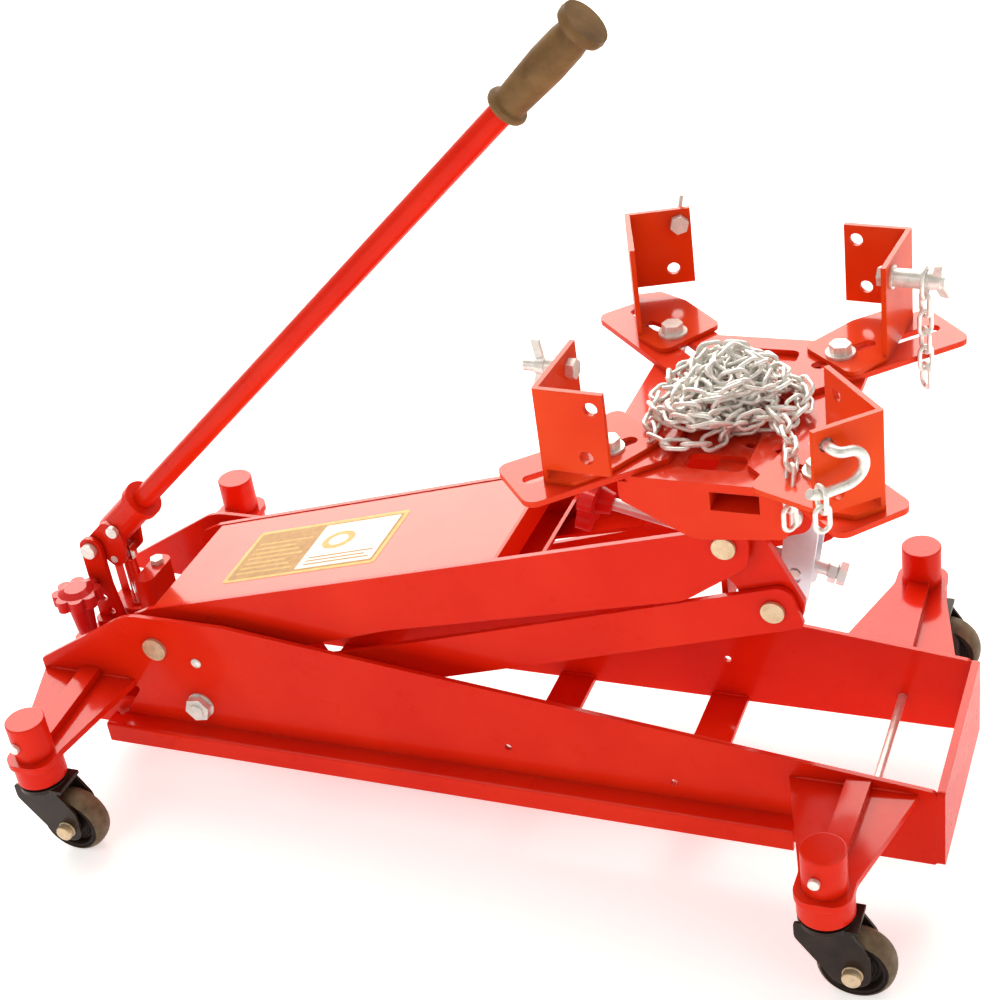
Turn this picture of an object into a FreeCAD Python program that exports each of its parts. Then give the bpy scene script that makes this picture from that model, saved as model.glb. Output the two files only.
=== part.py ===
import FreeCAD, Part
import math
import os

# Low-lift transmission jack, in millimetres. +X points to the saddle end (front), +Y to the
# left-hand side plate (far), -Y to the right-hand one (near), +Z up. The floor is z = 0 and
# y = 0 is the centre plane. The pieces are drawn in a frame whose origin lies MID_X behind
# mid-length, and are moved back by MID_X when written.

Vec = FreeCAD.Vector
UP = Vec(0, 0, 1)
SIDEWAYS = Vec(0, 1, 0)
MID_X = 4.5

# Quadrants as signs along (x, y)
QUADS = {"rear_near": (-1, -1), "rear_far": (-1, 1), "front_near": (1, -1), "front_far": (1, 1)}

# Side plates
PLATE_OUT = 106.0              # outer face of a side plate
PLATE_T = 5.0
PLATE_IN = PLATE_OUT - PLATE_T
PLATE_BOTTOM = 40.0
REAR_X, FRONT_X = -508.0, 509.0
FRONT_TOP = 133                # plate height at the front end
FLANGE_OUT = 128.0             # outboard edge of the folded stiffening flange
FLANGE_TOP, FLANGE_BOTTOM = 75.0, 50.0
FLANGE_X0, FLANGE_X1 = -426, 372
TIE_ROD = (437, 75)            # axis (x, z)
TIE_ROD_R = 4.5

# Parallelogram lift: pivots are (x, z)
ARM_REAR = (-346.0, 178.0)
LINK_REAR = (-305.0, 105.0)
ARM_FRONT = (312.0, 382.0)
LINK_FRONT = (ARM_FRONT[0] + LINK_REAR[0] - ARM_REAR[0],
              ARM_FRONT[1] + LINK_REAR[1] - ARM_REAR[1])
ARM_OUT, ARM_T = 88.0, 6.0
ARM_IN = ARM_OUT - ARM_T
LINK_OUT, LINK_T = 81.0, 6.0
KNUCKLE_OUT, KNUCKLE_T = 74.0, 8.0
PIN_R = 10.0
LINK_BOLT_R = 8
CROSS_PIN_R = 8                # pin across the arm that the ram pushes on
FIT = 0.05                     # radial running clearance

# Casters
CASTER_X, CASTER_Y = 432.0, 243.0      # swivel axes
WHEEL_R, WHEEL_W = 38.0, 28.0
TRAIL = 27.0
BOSS_R, BOSS_TOP = 21.5, 173.0
OUTRIGGER_TOP, OUTRIGGER_BOTTOM = 128.0, 97.0
SCREW_BACK, SCREW_Z = 4, 150   # boss screw: distance behind the swivel axis, and height

# Hydraulics
RAM_BASE_Z = 58.0
RAM_LEVER = 80.0               # distance of the cross pin from the arm pivot
RAM_PIN_DEG = 25.0             # cross pin above horizontal at rest
PUMP_X = -434.5                # plunger axis
VALVE = (-472.0, -58.0)        # release valve axis (x, y)
FILLER = (-404, 12)            # filler plug axis (x, y)
HANDLE_PIVOT = (-460.0, 244.0)
HANDLE_DEG = 43.0
PLUNGER_CRANK = 28.0           # from the lever pivot to the plunger pin
PLUNGER_DEG = -35.0

# Saddle
TABLE_Z = 476.0                # underside of the table plate
TABLE_T = 6.0
TABLE_X0, TABLE_X1 = 206.0, 414.0
TABLE_Y = 134.0                # half width
SADDLE_X = 310.0
ARM_ROOT_Y = 22.0              # the saddle arm axes leave the middle at this y
SADDLE_ARM_DEG = 43.0
SADDLE_ARM_W = 76.0
SADDLE_ARM_END = 224.0
TILT = (368.0, 400.0)          # tilt pin (x, z)
TILT_PIN_R = 8.0
SCREW_REAR = (150.0, 363.4)    # tilt screw axis (x, z)
SCREW_FRONT = (398.0, 302.6)
BUSH_X = 303                   # where the screw passes the knuckle's web
NUT_X = 360.0

os.makedirs("parts", exist_ok=True)


# ---------------------------------------------------------------------------
# Helpers
# ---------------------------------------------------------------------------
def export(name, shapes):
    """Write one shape or a list of shapes as one piece."""
    if not isinstance(shapes, (list, tuple)):
        shapes = [shapes]
    solids = []
    for shape in shapes:
        solids += shape.Solids
    piece = solids[0] if len(solids) == 1 else Part.makeCompound(solids)
    piece = piece.copy()
    piece.translate(Vec(-MID_X, 0, 0))
    piece.exportStep("parts/%s.step" % name)


def fuse(first, *others):
    return first.multiFuse(list(others)).removeSplitter()


def cut(shape, *tools):
    for tool in tools:
        shape = shape.cut(tool)
    return shape


def mirrored(shape):
    return shape.mirror(Vec(0, 0, 0), SIDEWAYS)


def both(shape):
    return [shape, mirrored(shape)]


def export_pair(name, near):
    export(name + "_near", near)
    export(name + "_far", mirrored(near))


def both_sides(y_in, y_out):
    """Y ranges of a pair of plates, near one first."""
    return ((-y_out, -y_in), (y_in, y_out))


def corner(before, point, after, radius):
    """Start, end and mid-point of a rounded corner; the mid-point is None if it is sharp."""
    point = point[:2]
    ax, ay = before[0] - point[0], before[1] - point[1]
    bx, by = after[0] - point[0], after[1] - point[1]
    len_a, len_b = math.hypot(ax, ay), math.hypot(bx, by)
    ax, ay = ax / len_a, ay / len_a
    bx, by = bx / len_b, by / len_b
    angle = math.acos(max(-1.0, min(1.0, ax * bx + ay * by)))
    if radius <= 0 or angle > math.pi - 1e-3:
        return point, point, None
    trim = min(radius / math.tan(angle / 2), 0.49 * len_a, 0.49 * len_b)
    radius = trim * math.tan(angle / 2)
    start = (point[0] + ax * trim, point[1] + ay * trim)
    end = (point[0] + bx * trim, point[1] + by * trim)
    depth = radius / math.sin(angle / 2) - radius
    mx, my = ax + bx, ay + by
    len_m = math.hypot(mx, my)
    middle = (point[0] + mx / len_m * depth, point[1] + my / len_m * depth)
    return start, end, middle


def outline_face(points, radius, to_3d):
    """Face from (u, v) or (u, v, corner radius) points; radius serves those without one."""
    count = len(points)
    corners = []
    for i, point in enumerate(points):
        own = point[2] if len(point) > 2 else radius
        corners.append(corner(points[i - 1], point, points[(i + 1) % count], own))
    edges = []
    for i, (start, end, middle) in enumerate(corners):
        if middle is not None:
            edges.append(Part.Arc(to_3d(start), to_3d(middle), to_3d(end)).toShape())
        following = corners[(i + 1) % count][0]
        if math.hypot(following[0] - end[0], following[1] - end[1]) > 1e-6:
            edges.append(Part.LineSegment(to_3d(end), to_3d(following)).toShape())
    return Part.Face(Part.Wire(edges))


def prism_xz(points, y0, y1, radius=0):
    face = outline_face(points, radius, lambda p: Vec(p[0], y0, p[1]))
    return face.extrude(Vec(0, y1 - y0, 0))


def prism_xy(points, z0, z1, radius=0):
    face = outline_face(points, radius, lambda p: Vec(p[0], p[1], z0))
    return face.extrude(Vec(0, 0, z1 - z0))


def prism_yz(points, x0, x1, radius=0):
    face = outline_face(points, radius, lambda p: Vec(x0, p[0], p[1]))
    return face.extrude(Vec(x1 - x0, 0, 0))


def with_radii(points, radii):
    return [(p[0], p[1], radius) for p, radius in zip(points, radii)]


def rectangle(x0, x1, y0, y1):
    return [(x0, y0), (x1, y0), (x1, y1), (x0, y1)]


def polygon_prism(points, path):
    return Part.Face(Part.makePolygon(points + [points[0]])).extrude(path)


def box(x0, x1, y0, y1, z0, z1):
    return Part.makeBox(x1 - x0, y1 - y0, z1 - z0, Vec(x0, y0, z0))


def cyl(radius, start, end):
    start, end = Vec(start), Vec(end)
    return Part.makeCylinder(radius, (end - start).Length, start, end - start)


def cyl_y(radius, at, y0, y1):
    """Cylinder along Y about at = (x, z)."""
    return cyl(radius, (at[0], y0, at[1]), (at[0], y1, at[1]))


def cyl_z(radius, at, z0, z1):
    """Cylinder along Z about at = (x, y)."""
    return cyl(radius, (at[0], at[1], z0), (at[0], at[1], z1))


def cyl_along(radius, origin, direction, start, end):
    return Part.makeCylinder(radius, end - start, origin + direction * start, direction)


def hexagon(flats, at, turn):
    size = flats / math.sqrt(3)
    angles = [math.radians(60 * i + turn) for i in range(6)]
    return [(at[0] + size * math.cos(a), at[1] + size * math.sin(a)) for a in angles]


def hex_y(flats, at, y0, y1, turn=0.0):
    return prism_xz(hexagon(flats, at, turn), y0, y1)


def hex_z(flats, at, z0, z1, turn=0.0):
    return prism_xy(hexagon(flats, at, turn), z0, z1)


def hex_along(start, direction, across, length, size, turn):
    """Hexagonal prism; size is the corner radius, turn is measured from across."""
    second = direction.cross(across)
    points = []
    for i in range(6):
        angle = math.radians(60 * i + turn)
        points.append(start + across * (size * math.cos(angle)) + second * (size * math.sin(angle)))
    return polygon_prism(points, direction * length)


def headed_pin(at, radius, half, head_radius, head_in, head_out, mid_y=0.0):
    """Pin along Y, symmetrical about mid_y, with a round head at each end."""
    return fuse(cyl_y(radius, at, mid_y - half, mid_y + half),
                cyl_y(head_radius, at, mid_y - head_out, mid_y - head_in),
                cyl_y(head_radius, at, mid_y + head_in, mid_y + head_out))


def turned(profile, base, axis, outward):
    """Turn a profile of (radius, distance along the axis) about the axis."""
    points = [base + axis * along + outward * radius for radius, along in profile]
    edges = [Part.LineSegment(points[i - 1], points[i]).toShape()
             for i in list(range(1, len(points))) + [0]]
    solid = Part.Face(Part.Wire(edges)).revolve(base, axis, 360).Solids[0]
    if solid.Volume < 0:       # the turn can leave the solid inside out
        solid.reverse()
    return solid


def swept_wire(points, radius, first_direction, **tangents):
    """Round wire swept along a smooth curve through the points."""
    curve = Part.BSplineCurve()
    curve.interpolate(Points=points, **tangents)
    profile = Part.Wire([Part.Circle(points[0], first_direction, radius).toShape()])
    return Part.Wire([curve.toShape()]).makePipeShell([profile], True, False)


def capsule(start, end, radius):
    """Corners of the rectangle that encloses a round-ended bar."""
    ux, uy = end[0] - start[0], end[1] - start[1]
    length = math.hypot(ux, uy)
    ux, uy = ux / length * radius, uy / length * radius
    return [(start[0] - ux - uy, start[1] - uy + ux),
            (start[0] - ux + uy, start[1] - uy - ux),
            (end[0] + ux + uy, end[1] + uy - ux),
            (end[0] + ux - uy, end[1] + uy + ux)]


def star(at, z0, z1, radius, lobes, lobe_r):
    parts = []
    for i in range(lobes):
        angle = 2 * math.pi * i / lobes + 0.5
        centre = (at[0] + (radius - lobe_r) * math.cos(angle),
                  at[1] + (radius - lobe_r) * math.sin(angle))
        parts.append(cyl_z(lobe_r, centre, z0, z1))
    return fuse(cyl_z(radius - lobe_r * 0.72, at, z0, z1), *parts)


# ---------------------------------------------------------------------------
# Side plates: web, outward flange and down-turned lip folded from one sheet
# ---------------------------------------------------------------------------
SIDE_OUTLINE = [               # x, z, corner radius
    (REAR_X, 124, 2), (REAR_X, 140, 6), (-376, 219, 60), (-254, 219, 60),
    (FRONT_X, FRONT_TOP, 6), (FRONT_X, PLATE_BOTTOM, 3), (-436, PLATE_BOTTOM, 12),
    (-380, 118, 4), (-470, 122, 0),
]
# radius, (x, z); the third only notches the flange's root, behind the web
SMALL_HOLES = [(4, (-297, 165)), (TIE_ROD_R, TIE_ROD), (5, (-418, 74)),
               (4, (66, 110)), (4, (246, 96))]


def side_plate():
    web = prism_xz(SIDE_OUTLINE, -PLATE_OUT, -PLATE_IN)
    flange = fuse(
        box(FLANGE_X0, FLANGE_X1, -FLANGE_OUT, -PLATE_OUT + 1, FLANGE_TOP - PLATE_T, FLANGE_TOP),
        box(FLANGE_X0, FLANGE_X1, -FLANGE_OUT, -FLANGE_OUT + PLATE_T, FLANGE_BOTTOM, FLANGE_TOP))
    fold = [e for e in flange.Edges if abs(e.BoundBox.YMax + FLANGE_OUT) < 1e-3
            and abs(e.BoundBox.ZMin - FLANGE_TOP) < 1e-3]
    flange = flange.makeFillet(3.5, fold)
    return cut(fuse(web, flange),
               cyl_y(PIN_R + FIT, ARM_REAR, -130, -90),
               cyl_y(LINK_BOLT_R + FIT, LINK_REAR, -130, -90),
               *[cyl_y(radius, at, -110, -96) for radius, at in SMALL_HOLES])


export_pair("side_plate", side_plate())

# Plates that join the two sides, and the thin tie rod with a nut outside each plate
export("front_cross_plate",
       prism_yz([(-PLATE_OUT, PLATE_BOTTOM), (-PLATE_OUT, FRONT_TOP),
                 (PLATE_OUT, FRONT_TOP), (PLATE_OUT, PLATE_BOTTOM)], FRONT_X, FRONT_X + 8, 4))
STRAP_W, STRAP_T = 42, 6
export("floor_straps", [box(x, x + STRAP_W, -PLATE_IN, PLATE_IN,
                            PLATE_BOTTOM, PLATE_BOTTOM + STRAP_T) for x in (45, 225)])
export("front_tie_rod", fuse(cyl_y(TIE_ROD_R, TIE_ROD, -PLATE_OUT - 7, PLATE_OUT + 7),
                             *[hex_y(13, TIE_ROD, y0, y1)
                               for y0, y1 in both_sides(PLATE_OUT, PLATE_OUT + 6)]))

# ---------------------------------------------------------------------------
# Caster outriggers: plate, collar for the swivel, stiffening bar and boss
# ---------------------------------------------------------------------------
COLLAR_R = 27.5
STIFFENER_W = 24


def outrigger(x, root_x0, root_x1, bar_shift):
    """Near outrigger for the swivel at x; the root is its joint with the side plate."""
    at = (x, -CASTER_Y)
    end_y = -CASTER_Y - COLLAR_R
    shoulder_y = -CASTER_Y + 12
    plate = prism_xy([(root_x0, -PLATE_OUT, 0), (root_x1, -PLATE_OUT, 0),
                      (x + COLLAR_R, shoulder_y, 30), (x + COLLAR_R, end_y, COLLAR_R - 1),
                      (x - COLLAR_R, end_y, COLLAR_R - 1), (x - COLLAR_R, shoulder_y, 30)],
                     OUTRIGGER_TOP - 8, OUTRIGGER_TOP)
    body = fuse(plate, cyl_z(COLLAR_R, at, OUTRIGGER_BOTTOM, OUTRIGGER_TOP - 1))
    hub = fuse(cyl_z(BOSS_R, at, OUTRIGGER_TOP - 10, BOSS_TOP),
               cyl_z(24, at, OUTRIGGER_BOTTOM, OUTRIGGER_TOP - 2))
    hub = hub.makeFillet(1.5, [e for e in hub.Edges if abs(e.BoundBox.ZMin - BOSS_TOP) < 1e-3])
    # bar from the side plate to the boss
    root_x = (root_x0 + root_x1) / 2 + bar_shift
    half = STIFFENER_W / 2
    bar = prism_xy([(root_x - half, -PLATE_OUT), (root_x + half, -PLATE_OUT),
                    (x + half - 1, -CASTER_Y), (x - half + 1, -CASTER_Y)],
                   OUTRIGGER_TOP - 2, OUTRIGGER_TOP + 10)
    return cut(fuse(body, hub, bar),
               cyl_z(9.0, at, OUTRIGGER_BOTTOM - 2, BOSS_TOP - 8),
               cyl_z(15, at, OUTRIGGER_BOTTOM - 2, OUTRIGGER_BOTTOM + 9),
               cyl_y(3.0, (x - SCREW_BACK, SCREW_Z), -CASTER_Y - 40, -CASTER_Y))


export_pair("outrigger_front", outrigger(CASTER_X, 366, 492, 6))
export_pair("outrigger_rear", outrigger(-CASTER_X, -506, -386, 4))


def boss_screw(x, side):
    screw_x = x - SCREW_BACK
    head_y = CASTER_Y + 21.3
    tip = (screw_x, side * (CASTER_Y + 9.5), SCREW_Z)
    neck = (screw_x, side * (head_y + 0.4), SCREW_Z)
    return fuse(cyl(2.95, tip, neck), cyl(5.5, neck, (screw_x, side * (head_y + 4.5), SCREW_Z)))


export("boss_screws", [boss_screw(x, side) for x in (CASTER_X, -CASTER_X) for side in (-1, 1)])

# ---------------------------------------------------------------------------
# Casters: stem and fork, axle, wheel
# ---------------------------------------------------------------------------
AXLE_R = 6.0
FORK_OUT, FORK_IN = 19, 16     # faces of a fork leg, from the caster's middle
HALF_W = WHEEL_W / 2
WHEEL_PROFILE = [              # radius, distance along the axle
    (AXLE_R + FIT, -HALF_W - 1), (12, -HALF_W - 1), (12, -6), (25, -6), (25, -HALF_W + 1.5),
    (27, -HALF_W), (34.5, -HALF_W), (WHEEL_R, -HALF_W + 4.5), (WHEEL_R, HALF_W - 4.5),
    (34.5, HALF_W), (27, HALF_W), (25, HALF_W - 1.5), (25, 6), (12, 6), (12, HALF_W + 1),
    (AXLE_R + FIT, HALF_W + 1),
]


def caster_fork(x, y):
    at = (x, y)
    axle_x = x + TRAIL
    top = fuse(cyl_z(27, at, 88, 93), cyl_z(14.9, at, 93, 104), cyl_z(8.95, at, 93, 163))
    top = fuse(top, box(x - 14, axle_x + 6, y - FORK_OUT, y + FORK_OUT, 88, 92))
    leg = [(x - 27, 92, 3), (x + 24, 92, 6), (axle_x + 17, 62, 20),
           (axle_x + 17, 22, 16), (axle_x - 15, 22, 14), (x - 27, 74, 12)]
    legs = [prism_xz(leg, y + y0, y + y1) for y0, y1 in both_sides(FORK_IN, FORK_OUT)]
    axle_at = (axle_x, WHEEL_R)
    fork = cut(fuse(top, *legs), cyl_y(AXLE_R, axle_at, y - 25, y + 25))
    axle = headed_pin(axle_at, AXLE_R - FIT, FORK_OUT, 9, FORK_OUT, 22.5, mid_y=y)
    return [fork, axle]


for quad_name, (sign_x, sign_y) in QUADS.items():
    x, y = sign_x * CASTER_X, sign_y * CASTER_Y
    export("caster_fork_" + quad_name, caster_fork(x, y))
    export("caster_wheel_" + quad_name,
           turned(WHEEL_PROFILE, Vec(x + TRAIL, y, WHEEL_R), SIDEWAYS, Vec(1, 0, 0)))


# ---------------------------------------------------------------------------
# Lift arm: two side cheeks, folded cover and a gusset across the open end
# ---------------------------------------------------------------------------
def top_z(x):
    """Sloping top edge of the cheeks."""
    return 216 + 0.277 * (x + 359)


RAM_PIN = (ARM_REAR[0] + RAM_LEVER * math.cos(math.radians(RAM_PIN_DEG)),
           ARM_REAR[1] + RAM_LEVER * math.sin(math.radians(RAM_PIN_DEG)))
CHEEK_OUTLINE = [              # x, z, corner radius
    (-390, 200, 22), (-359, 216, 14), (298, top_z(298), 20), (336, 404, 19), (334, 362, 18),
    (268, 314, 60), (-60, 231, 80), (-330, 140, 30), (-384, 150, 26),
]
cheek = cut(prism_xz(CHEEK_OUTLINE, -ARM_OUT, -ARM_IN),
            cyl_y(PIN_R + FIT, ARM_REAR, -95, -75),
            cyl_y(PIN_R + FIT, ARM_FRONT, -95, -75),
            cyl_y(CROSS_PIN_R + FIT, RAM_PIN, -95, -75))
export_pair("lift_arm_cheek", cheek)

# Cover between the cheeks, with a lip folded down at its front end
COVER_X0, COVER_X1 = -352.0, 71.0
cover_front_z = top_z(COVER_X1)
cover_rear_z = top_z(COVER_X0)
cover = prism_xz([(COVER_X0, cover_rear_z - 1), (COVER_X1, cover_front_z - 1),
                  (COVER_X1, cover_front_z - 6), (COVER_X0, cover_rear_z - 6)], -ARM_IN, ARM_IN)
cover_lip = prism_xz([(COVER_X1, cover_front_z - 1), (COVER_X1 + 3.5, cover_front_z - 1),
                      (COVER_X1 + 8.5, cover_front_z - 24), (COVER_X1 + 3.5, cover_front_z - 26)],
                     -ARM_IN, ARM_IN)
export("lift_arm_cover", fuse(cover, cover_lip))

# Gusset just ahead of the cover, with two sloping inward flanges running on forward
flanges = [prism_xz([(86, 278.5), (262, 322), (262, 326), (86, 282.5)], y0, y1)
           for y0, y1 in both_sides(38, ARM_IN)]
export("lift_arm_gusset",
       fuse(prism_xz([(84, 282), (88, 282), (112, 322), (108, 322)], -ARM_IN, ARM_IN),
            box(60, 88, -ARM_IN, ARM_IN, 278, 283), *flanges))

# Pins of the lift linkage; spacers keep the arm centred between the side plates
spacers = [cut(cyl_y(15, ARM_REAR, y0, y1), cyl_y(PIN_R + 0.1, ARM_REAR, y0 - 9, y1 + 9))
           for y0, y1 in both_sides(ARM_OUT + 0.5, PLATE_IN - 0.5)]
export("arm_pivot_pin",
       [headed_pin(ARM_REAR, PIN_R, PLATE_OUT + 1, 14, PLATE_OUT, PLATE_OUT + 4)] + spacers)

link_bolt = fuse(cyl_y(LINK_BOLT_R, LINK_REAR, -PLATE_OUT - 14, -70),
                 cyl_y(13, LINK_REAR, -74.5, -69),
                 hex_y(27, LINK_REAR, -PLATE_OUT - 11, -PLATE_OUT - 2, 12),
                 cyl_y(16, LINK_REAR, -PLATE_OUT - 2, -PLATE_OUT))
export("link_pivot_bolts", both(link_bolt))

arm_pin = headed_pin(ARM_FRONT, PIN_R, ARM_OUT + 1, 11.5, ARM_OUT + 0.3, ARM_OUT + 4)
link_pin = fuse(cyl_y(PIN_R, LINK_FRONT, -LINK_OUT - 1, -62),
                cyl_y(11.5, LINK_FRONT, -LINK_OUT - 4, -LINK_OUT - 0.3),
                cyl_y(13, LINK_FRONT, -65.5, -61))
export("front_pins", [arm_pin] + both(link_pin))

link_outline = with_radii(capsule(LINK_REAR, LINK_FRONT, 24), (23.5, 23.5, 6, 15))
lower_link = cut(prism_xz(link_outline, -LINK_OUT, -LINK_OUT + LINK_T),
                 cyl_y(LINK_BOLT_R + FIT, LINK_REAR, -90, -70),
                 cyl_y(PIN_R + FIT, LINK_FRONT, -90, -70))
export("lower_links", both(lower_link))

export("ram_cross_pin", cyl_y(CROSS_PIN_R, RAM_PIN, -ARM_OUT + 0.6, ARM_OUT - 0.6))

# ---------------------------------------------------------------------------
# Ram: anchor, cylinder, and rod with a slotted eye
# ---------------------------------------------------------------------------
ram_angle = math.radians(RAM_PIN_DEG + 90)     # square to the arm's lever at rest
RAM_DIR = Vec(math.cos(ram_angle), 0, math.sin(ram_angle))     # up and to the rear
RAM_ACROSS = Vec(RAM_DIR.z, 0, -RAM_DIR.x)                     # towards +X
RAM_LENGTH = (RAM_PIN[1] - RAM_BASE_Z) / RAM_DIR.z             # between pins
RAM_BASE_X = RAM_PIN[0] - RAM_DIR.x * RAM_LENGTH
RAM_BASE = (RAM_BASE_X, RAM_BASE_Z)
RAM_BASE_PIN_R = 6.0
RAM_BODY_R = 24
BODY_START, BODY_END = 21.5, 118.0     # distances from the base pin
PORT_AT = 35                           # oil port, from the base pin
OIL_LINE_R = 2.9


def ram_point(along, across=0.0, y=0.0):
    """Point on the ram, measured from the base pin."""
    return Vec(RAM_BASE_X, y, RAM_BASE_Z) + RAM_DIR * along + RAM_ACROSS * across


def ram_cyl(radius, start, end):
    return Part.makeCylinder(radius, end - start, ram_point(start), RAM_DIR)


def ram_box(along0, along1, across0, across1, half_y):
    corners = rectangle(along0, along1, across0, across1)
    return polygon_prism([ram_point(along, across, -half_y) for along, across in corners],
                         Vec(0, 2 * half_y, 0))


anchor_ear = [(RAM_BASE_X - 20, 44, 0), (RAM_BASE_X - 14, 70, 12),
              (RAM_BASE_X + 14, 70, 12), (RAM_BASE_X + 20, 44, 0)]
anchor = fuse(box(RAM_BASE_X - 32, RAM_BASE_X + 32, -PLATE_IN, PLATE_IN, PLATE_BOTTOM, 44.5),
              *[prism_xz(anchor_ear, y0, y1) for y0, y1 in both_sides(16, 24)])
anchor = cut(anchor, cyl_y(RAM_BASE_PIN_R, RAM_BASE, -30, 30))
export("ram_anchor", [anchor, headed_pin(RAM_BASE, RAM_BASE_PIN_R - FIT, 27, 9, 24.2, 30)])

# Body with its base tang and port block, and the gland ring on its end
body = fuse(ram_cyl(RAM_BODY_R, BODY_START, BODY_END), ram_box(-9, BODY_START + 4, -10, 10, 15),
            ram_box(PORT_AT - 7, PORT_AT + 7, 20, 34, 8))
body = cut(body, ram_cyl(17.0, BODY_START + 8, BODY_END + 1),
           cyl_y(RAM_BASE_PIN_R + FIT, RAM_BASE, -30, 30),
           cyl(OIL_LINE_R, ram_point(PORT_AT, 40), ram_point(PORT_AT, 10)))
gland = cut(ram_cyl(RAM_BODY_R, BODY_END, BODY_END + 10),
            ram_cyl(11.05, BODY_END - 1, BODY_END + 11))
export("ram_cylinder", [body, gland])

# Piston, shaft and eye with a cross slot for the arm's pin
eye = cut(ram_box(RAM_LENGTH - 17, RAM_LENGTH + 14, -18.5, 14.5, 13),
          ram_box(RAM_LENGTH - 8.5, RAM_LENGTH + 8.5, -13.5, 9.5, 20))
export("ram_rod", fuse(ram_cyl(16.95, 62, 82), ram_cyl(11, 70, RAM_LENGTH - 15), eye))

# ---------------------------------------------------------------------------
# Pump: cradle, block, filler plug, oil line, release knob and plunger
# ---------------------------------------------------------------------------
BLOCK_X1 = -392                # front face of the block
CRADLE_X0, CRADLE_TOP = -474, 62
PUMP = (PUMP_X, 0)
LEVER_PIN_R = 6.0
PLUNGER_PIN_R = 4.5
OIL_Y, OIL_Z = 20, 84          # where the oil line leaves the block

export("pump_cradle",
       fuse(box(CRADLE_X0, BLOCK_X1, -PLATE_IN, PLATE_IN, 54, CRADLE_TOP),
            *[box(CRADLE_X0, BLOCK_X1, y0, y1, 60, 92)
              for y0, y1 in both_sides(PLATE_IN - 5, PLATE_IN)]))

block = fuse(prism_xy(rectangle(-476, BLOCK_X1, -40, 40), CRADLE_TOP, 150, 10),
             prism_xy(with_radii(rectangle(-414, BLOCK_X1, -28, 28), (4, 10, 10, 4)), 148, 206),
             cyl_z(19, PUMP, 148, 156),
             cyl_z(17, VALVE, 80, 142),
             prism_xy(rectangle(VALVE[0] - 12, VALVE[0] + 12, VALVE[1], -30), 80, 138, 3))
LEVER_LUG = [                  # x, z, corner radius
    (-474, 148, 0), (-474, 258, 13), (-446, 258, 13), (-446, 196, 12), (-440, 148, 0),
]
for y0, y1 in both_sides(22, 28):
    block = fuse(block, prism_xz(LEVER_LUG, y0, y1))
block = cut(block, cyl_y(LEVER_PIN_R + FIT, HANDLE_PIVOT, -30, 30),
            cyl_z(7.05, PUMP, 96, 200), cyl_z(10.1, PUMP, 140, 200),
            cyl_z(6.1, VALVE, 110, 150),
            cyl(OIL_LINE_R, (-380, OIL_Y, OIL_Z), (-410, OIL_Y, OIL_Z)),
            cyl_z(5.1, FILLER, 196, 210),
            cyl_y(4.5, (-461, 176), -29, -20), cyl_y(4.5, (-455, 158), -29, -20))
pump_gland = cut(cyl_z(10, PUMP, 141, 159), cyl_z(7.06, PUMP, 139, 160))
export("pump_block", [block, pump_gland])
export("filler_plug", fuse(cyl_z(5, FILLER, 197, 206), hex_z(14, FILLER, 206, 212)))

oil_path = [Vec(BLOCK_X1 + 0.05, OIL_Y, OIL_Z), Vec(-352, 31, 74), Vec(-290, 44, 61),
            Vec(-225, 46, 58), Vec(-166, 38, 66), Vec(-142, 18, 92),
            ram_point(PORT_AT, 50), ram_point(PORT_AT, 34.05)]
export("oil_line", swept_wire(oil_path, OIL_LINE_R, Vec(1, 0, 0),
                              InitialTangent=Vec(1, 0, 0), FinalTangent=RAM_ACROSS * -1.0))

# Release valve: star knob with a long hub and a stem
knob = fuse(star(VALVE, 192, 206, 28.6, 8, 8.0),
            Part.makeCone(21, 13, 4.5, Vec(VALVE[0], VALVE[1], 206), UP),
            Part.makeCone(11, 15, 44, Vec(VALVE[0], VALVE[1], 150), UP))
export("release_knob", fuse(knob, cyl_z(6.0, VALVE, 118, 152)))

# Plunger with a slotted head for the lever's cross pin
PLUNGER_PIN = (HANDLE_PIVOT[0] + PLUNGER_CRANK * math.cos(math.radians(PLUNGER_DEG)),
               HANDLE_PIVOT[1] + PLUNGER_CRANK * math.sin(math.radians(PLUNGER_DEG)))
head_z = PLUNGER_PIN[1]
plunger = fuse(cyl_z(7, PUMP, 106, head_z - 8),
               box(PUMP_X - 11.5, PUMP_X + 11.5, -6, 6, head_z - 9, head_z + 9))
export("pump_plunger",
       cut(plunger, box(PUMP_X - 8.2, PUMP_X + 8.2, -8, 8, head_z - 5.2, head_z + 5.2)))

# ---------------------------------------------------------------------------
# Pump handle: socket with two yoke legs, pins, tube and grip
# ---------------------------------------------------------------------------
HANDLE_DIR = Vec(math.cos(math.radians(HANDLE_DEG)), 0, math.sin(math.radians(HANDLE_DEG)))
HANDLE_NORMAL = Vec(-HANDLE_DIR.z, 0, HANDLE_DIR.x)
HANDLE_BASE = Vec(-452.0, 0, 245.2)    # lower end of the socket axis
HANDLE_LENGTH = math.hypot(197 - HANDLE_BASE.x, 854 - HANDLE_BASE.z) - 6
HANDLE_BOLT_AT = 34                    # bolt through socket and tube, along the axis
GRIP_LENGTH = 116.0


def handle_point(along, y=0.0):
    return HANDLE_BASE + HANDLE_DIR * along + Vec(0, y, 0)


def handle_bolt(radius, y0, y1):
    """Cylinder across the handle on the bolt's axis."""
    return cyl(radius, handle_point(HANDLE_BOLT_AT, y0), handle_point(HANDLE_BOLT_AT, y1))


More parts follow.
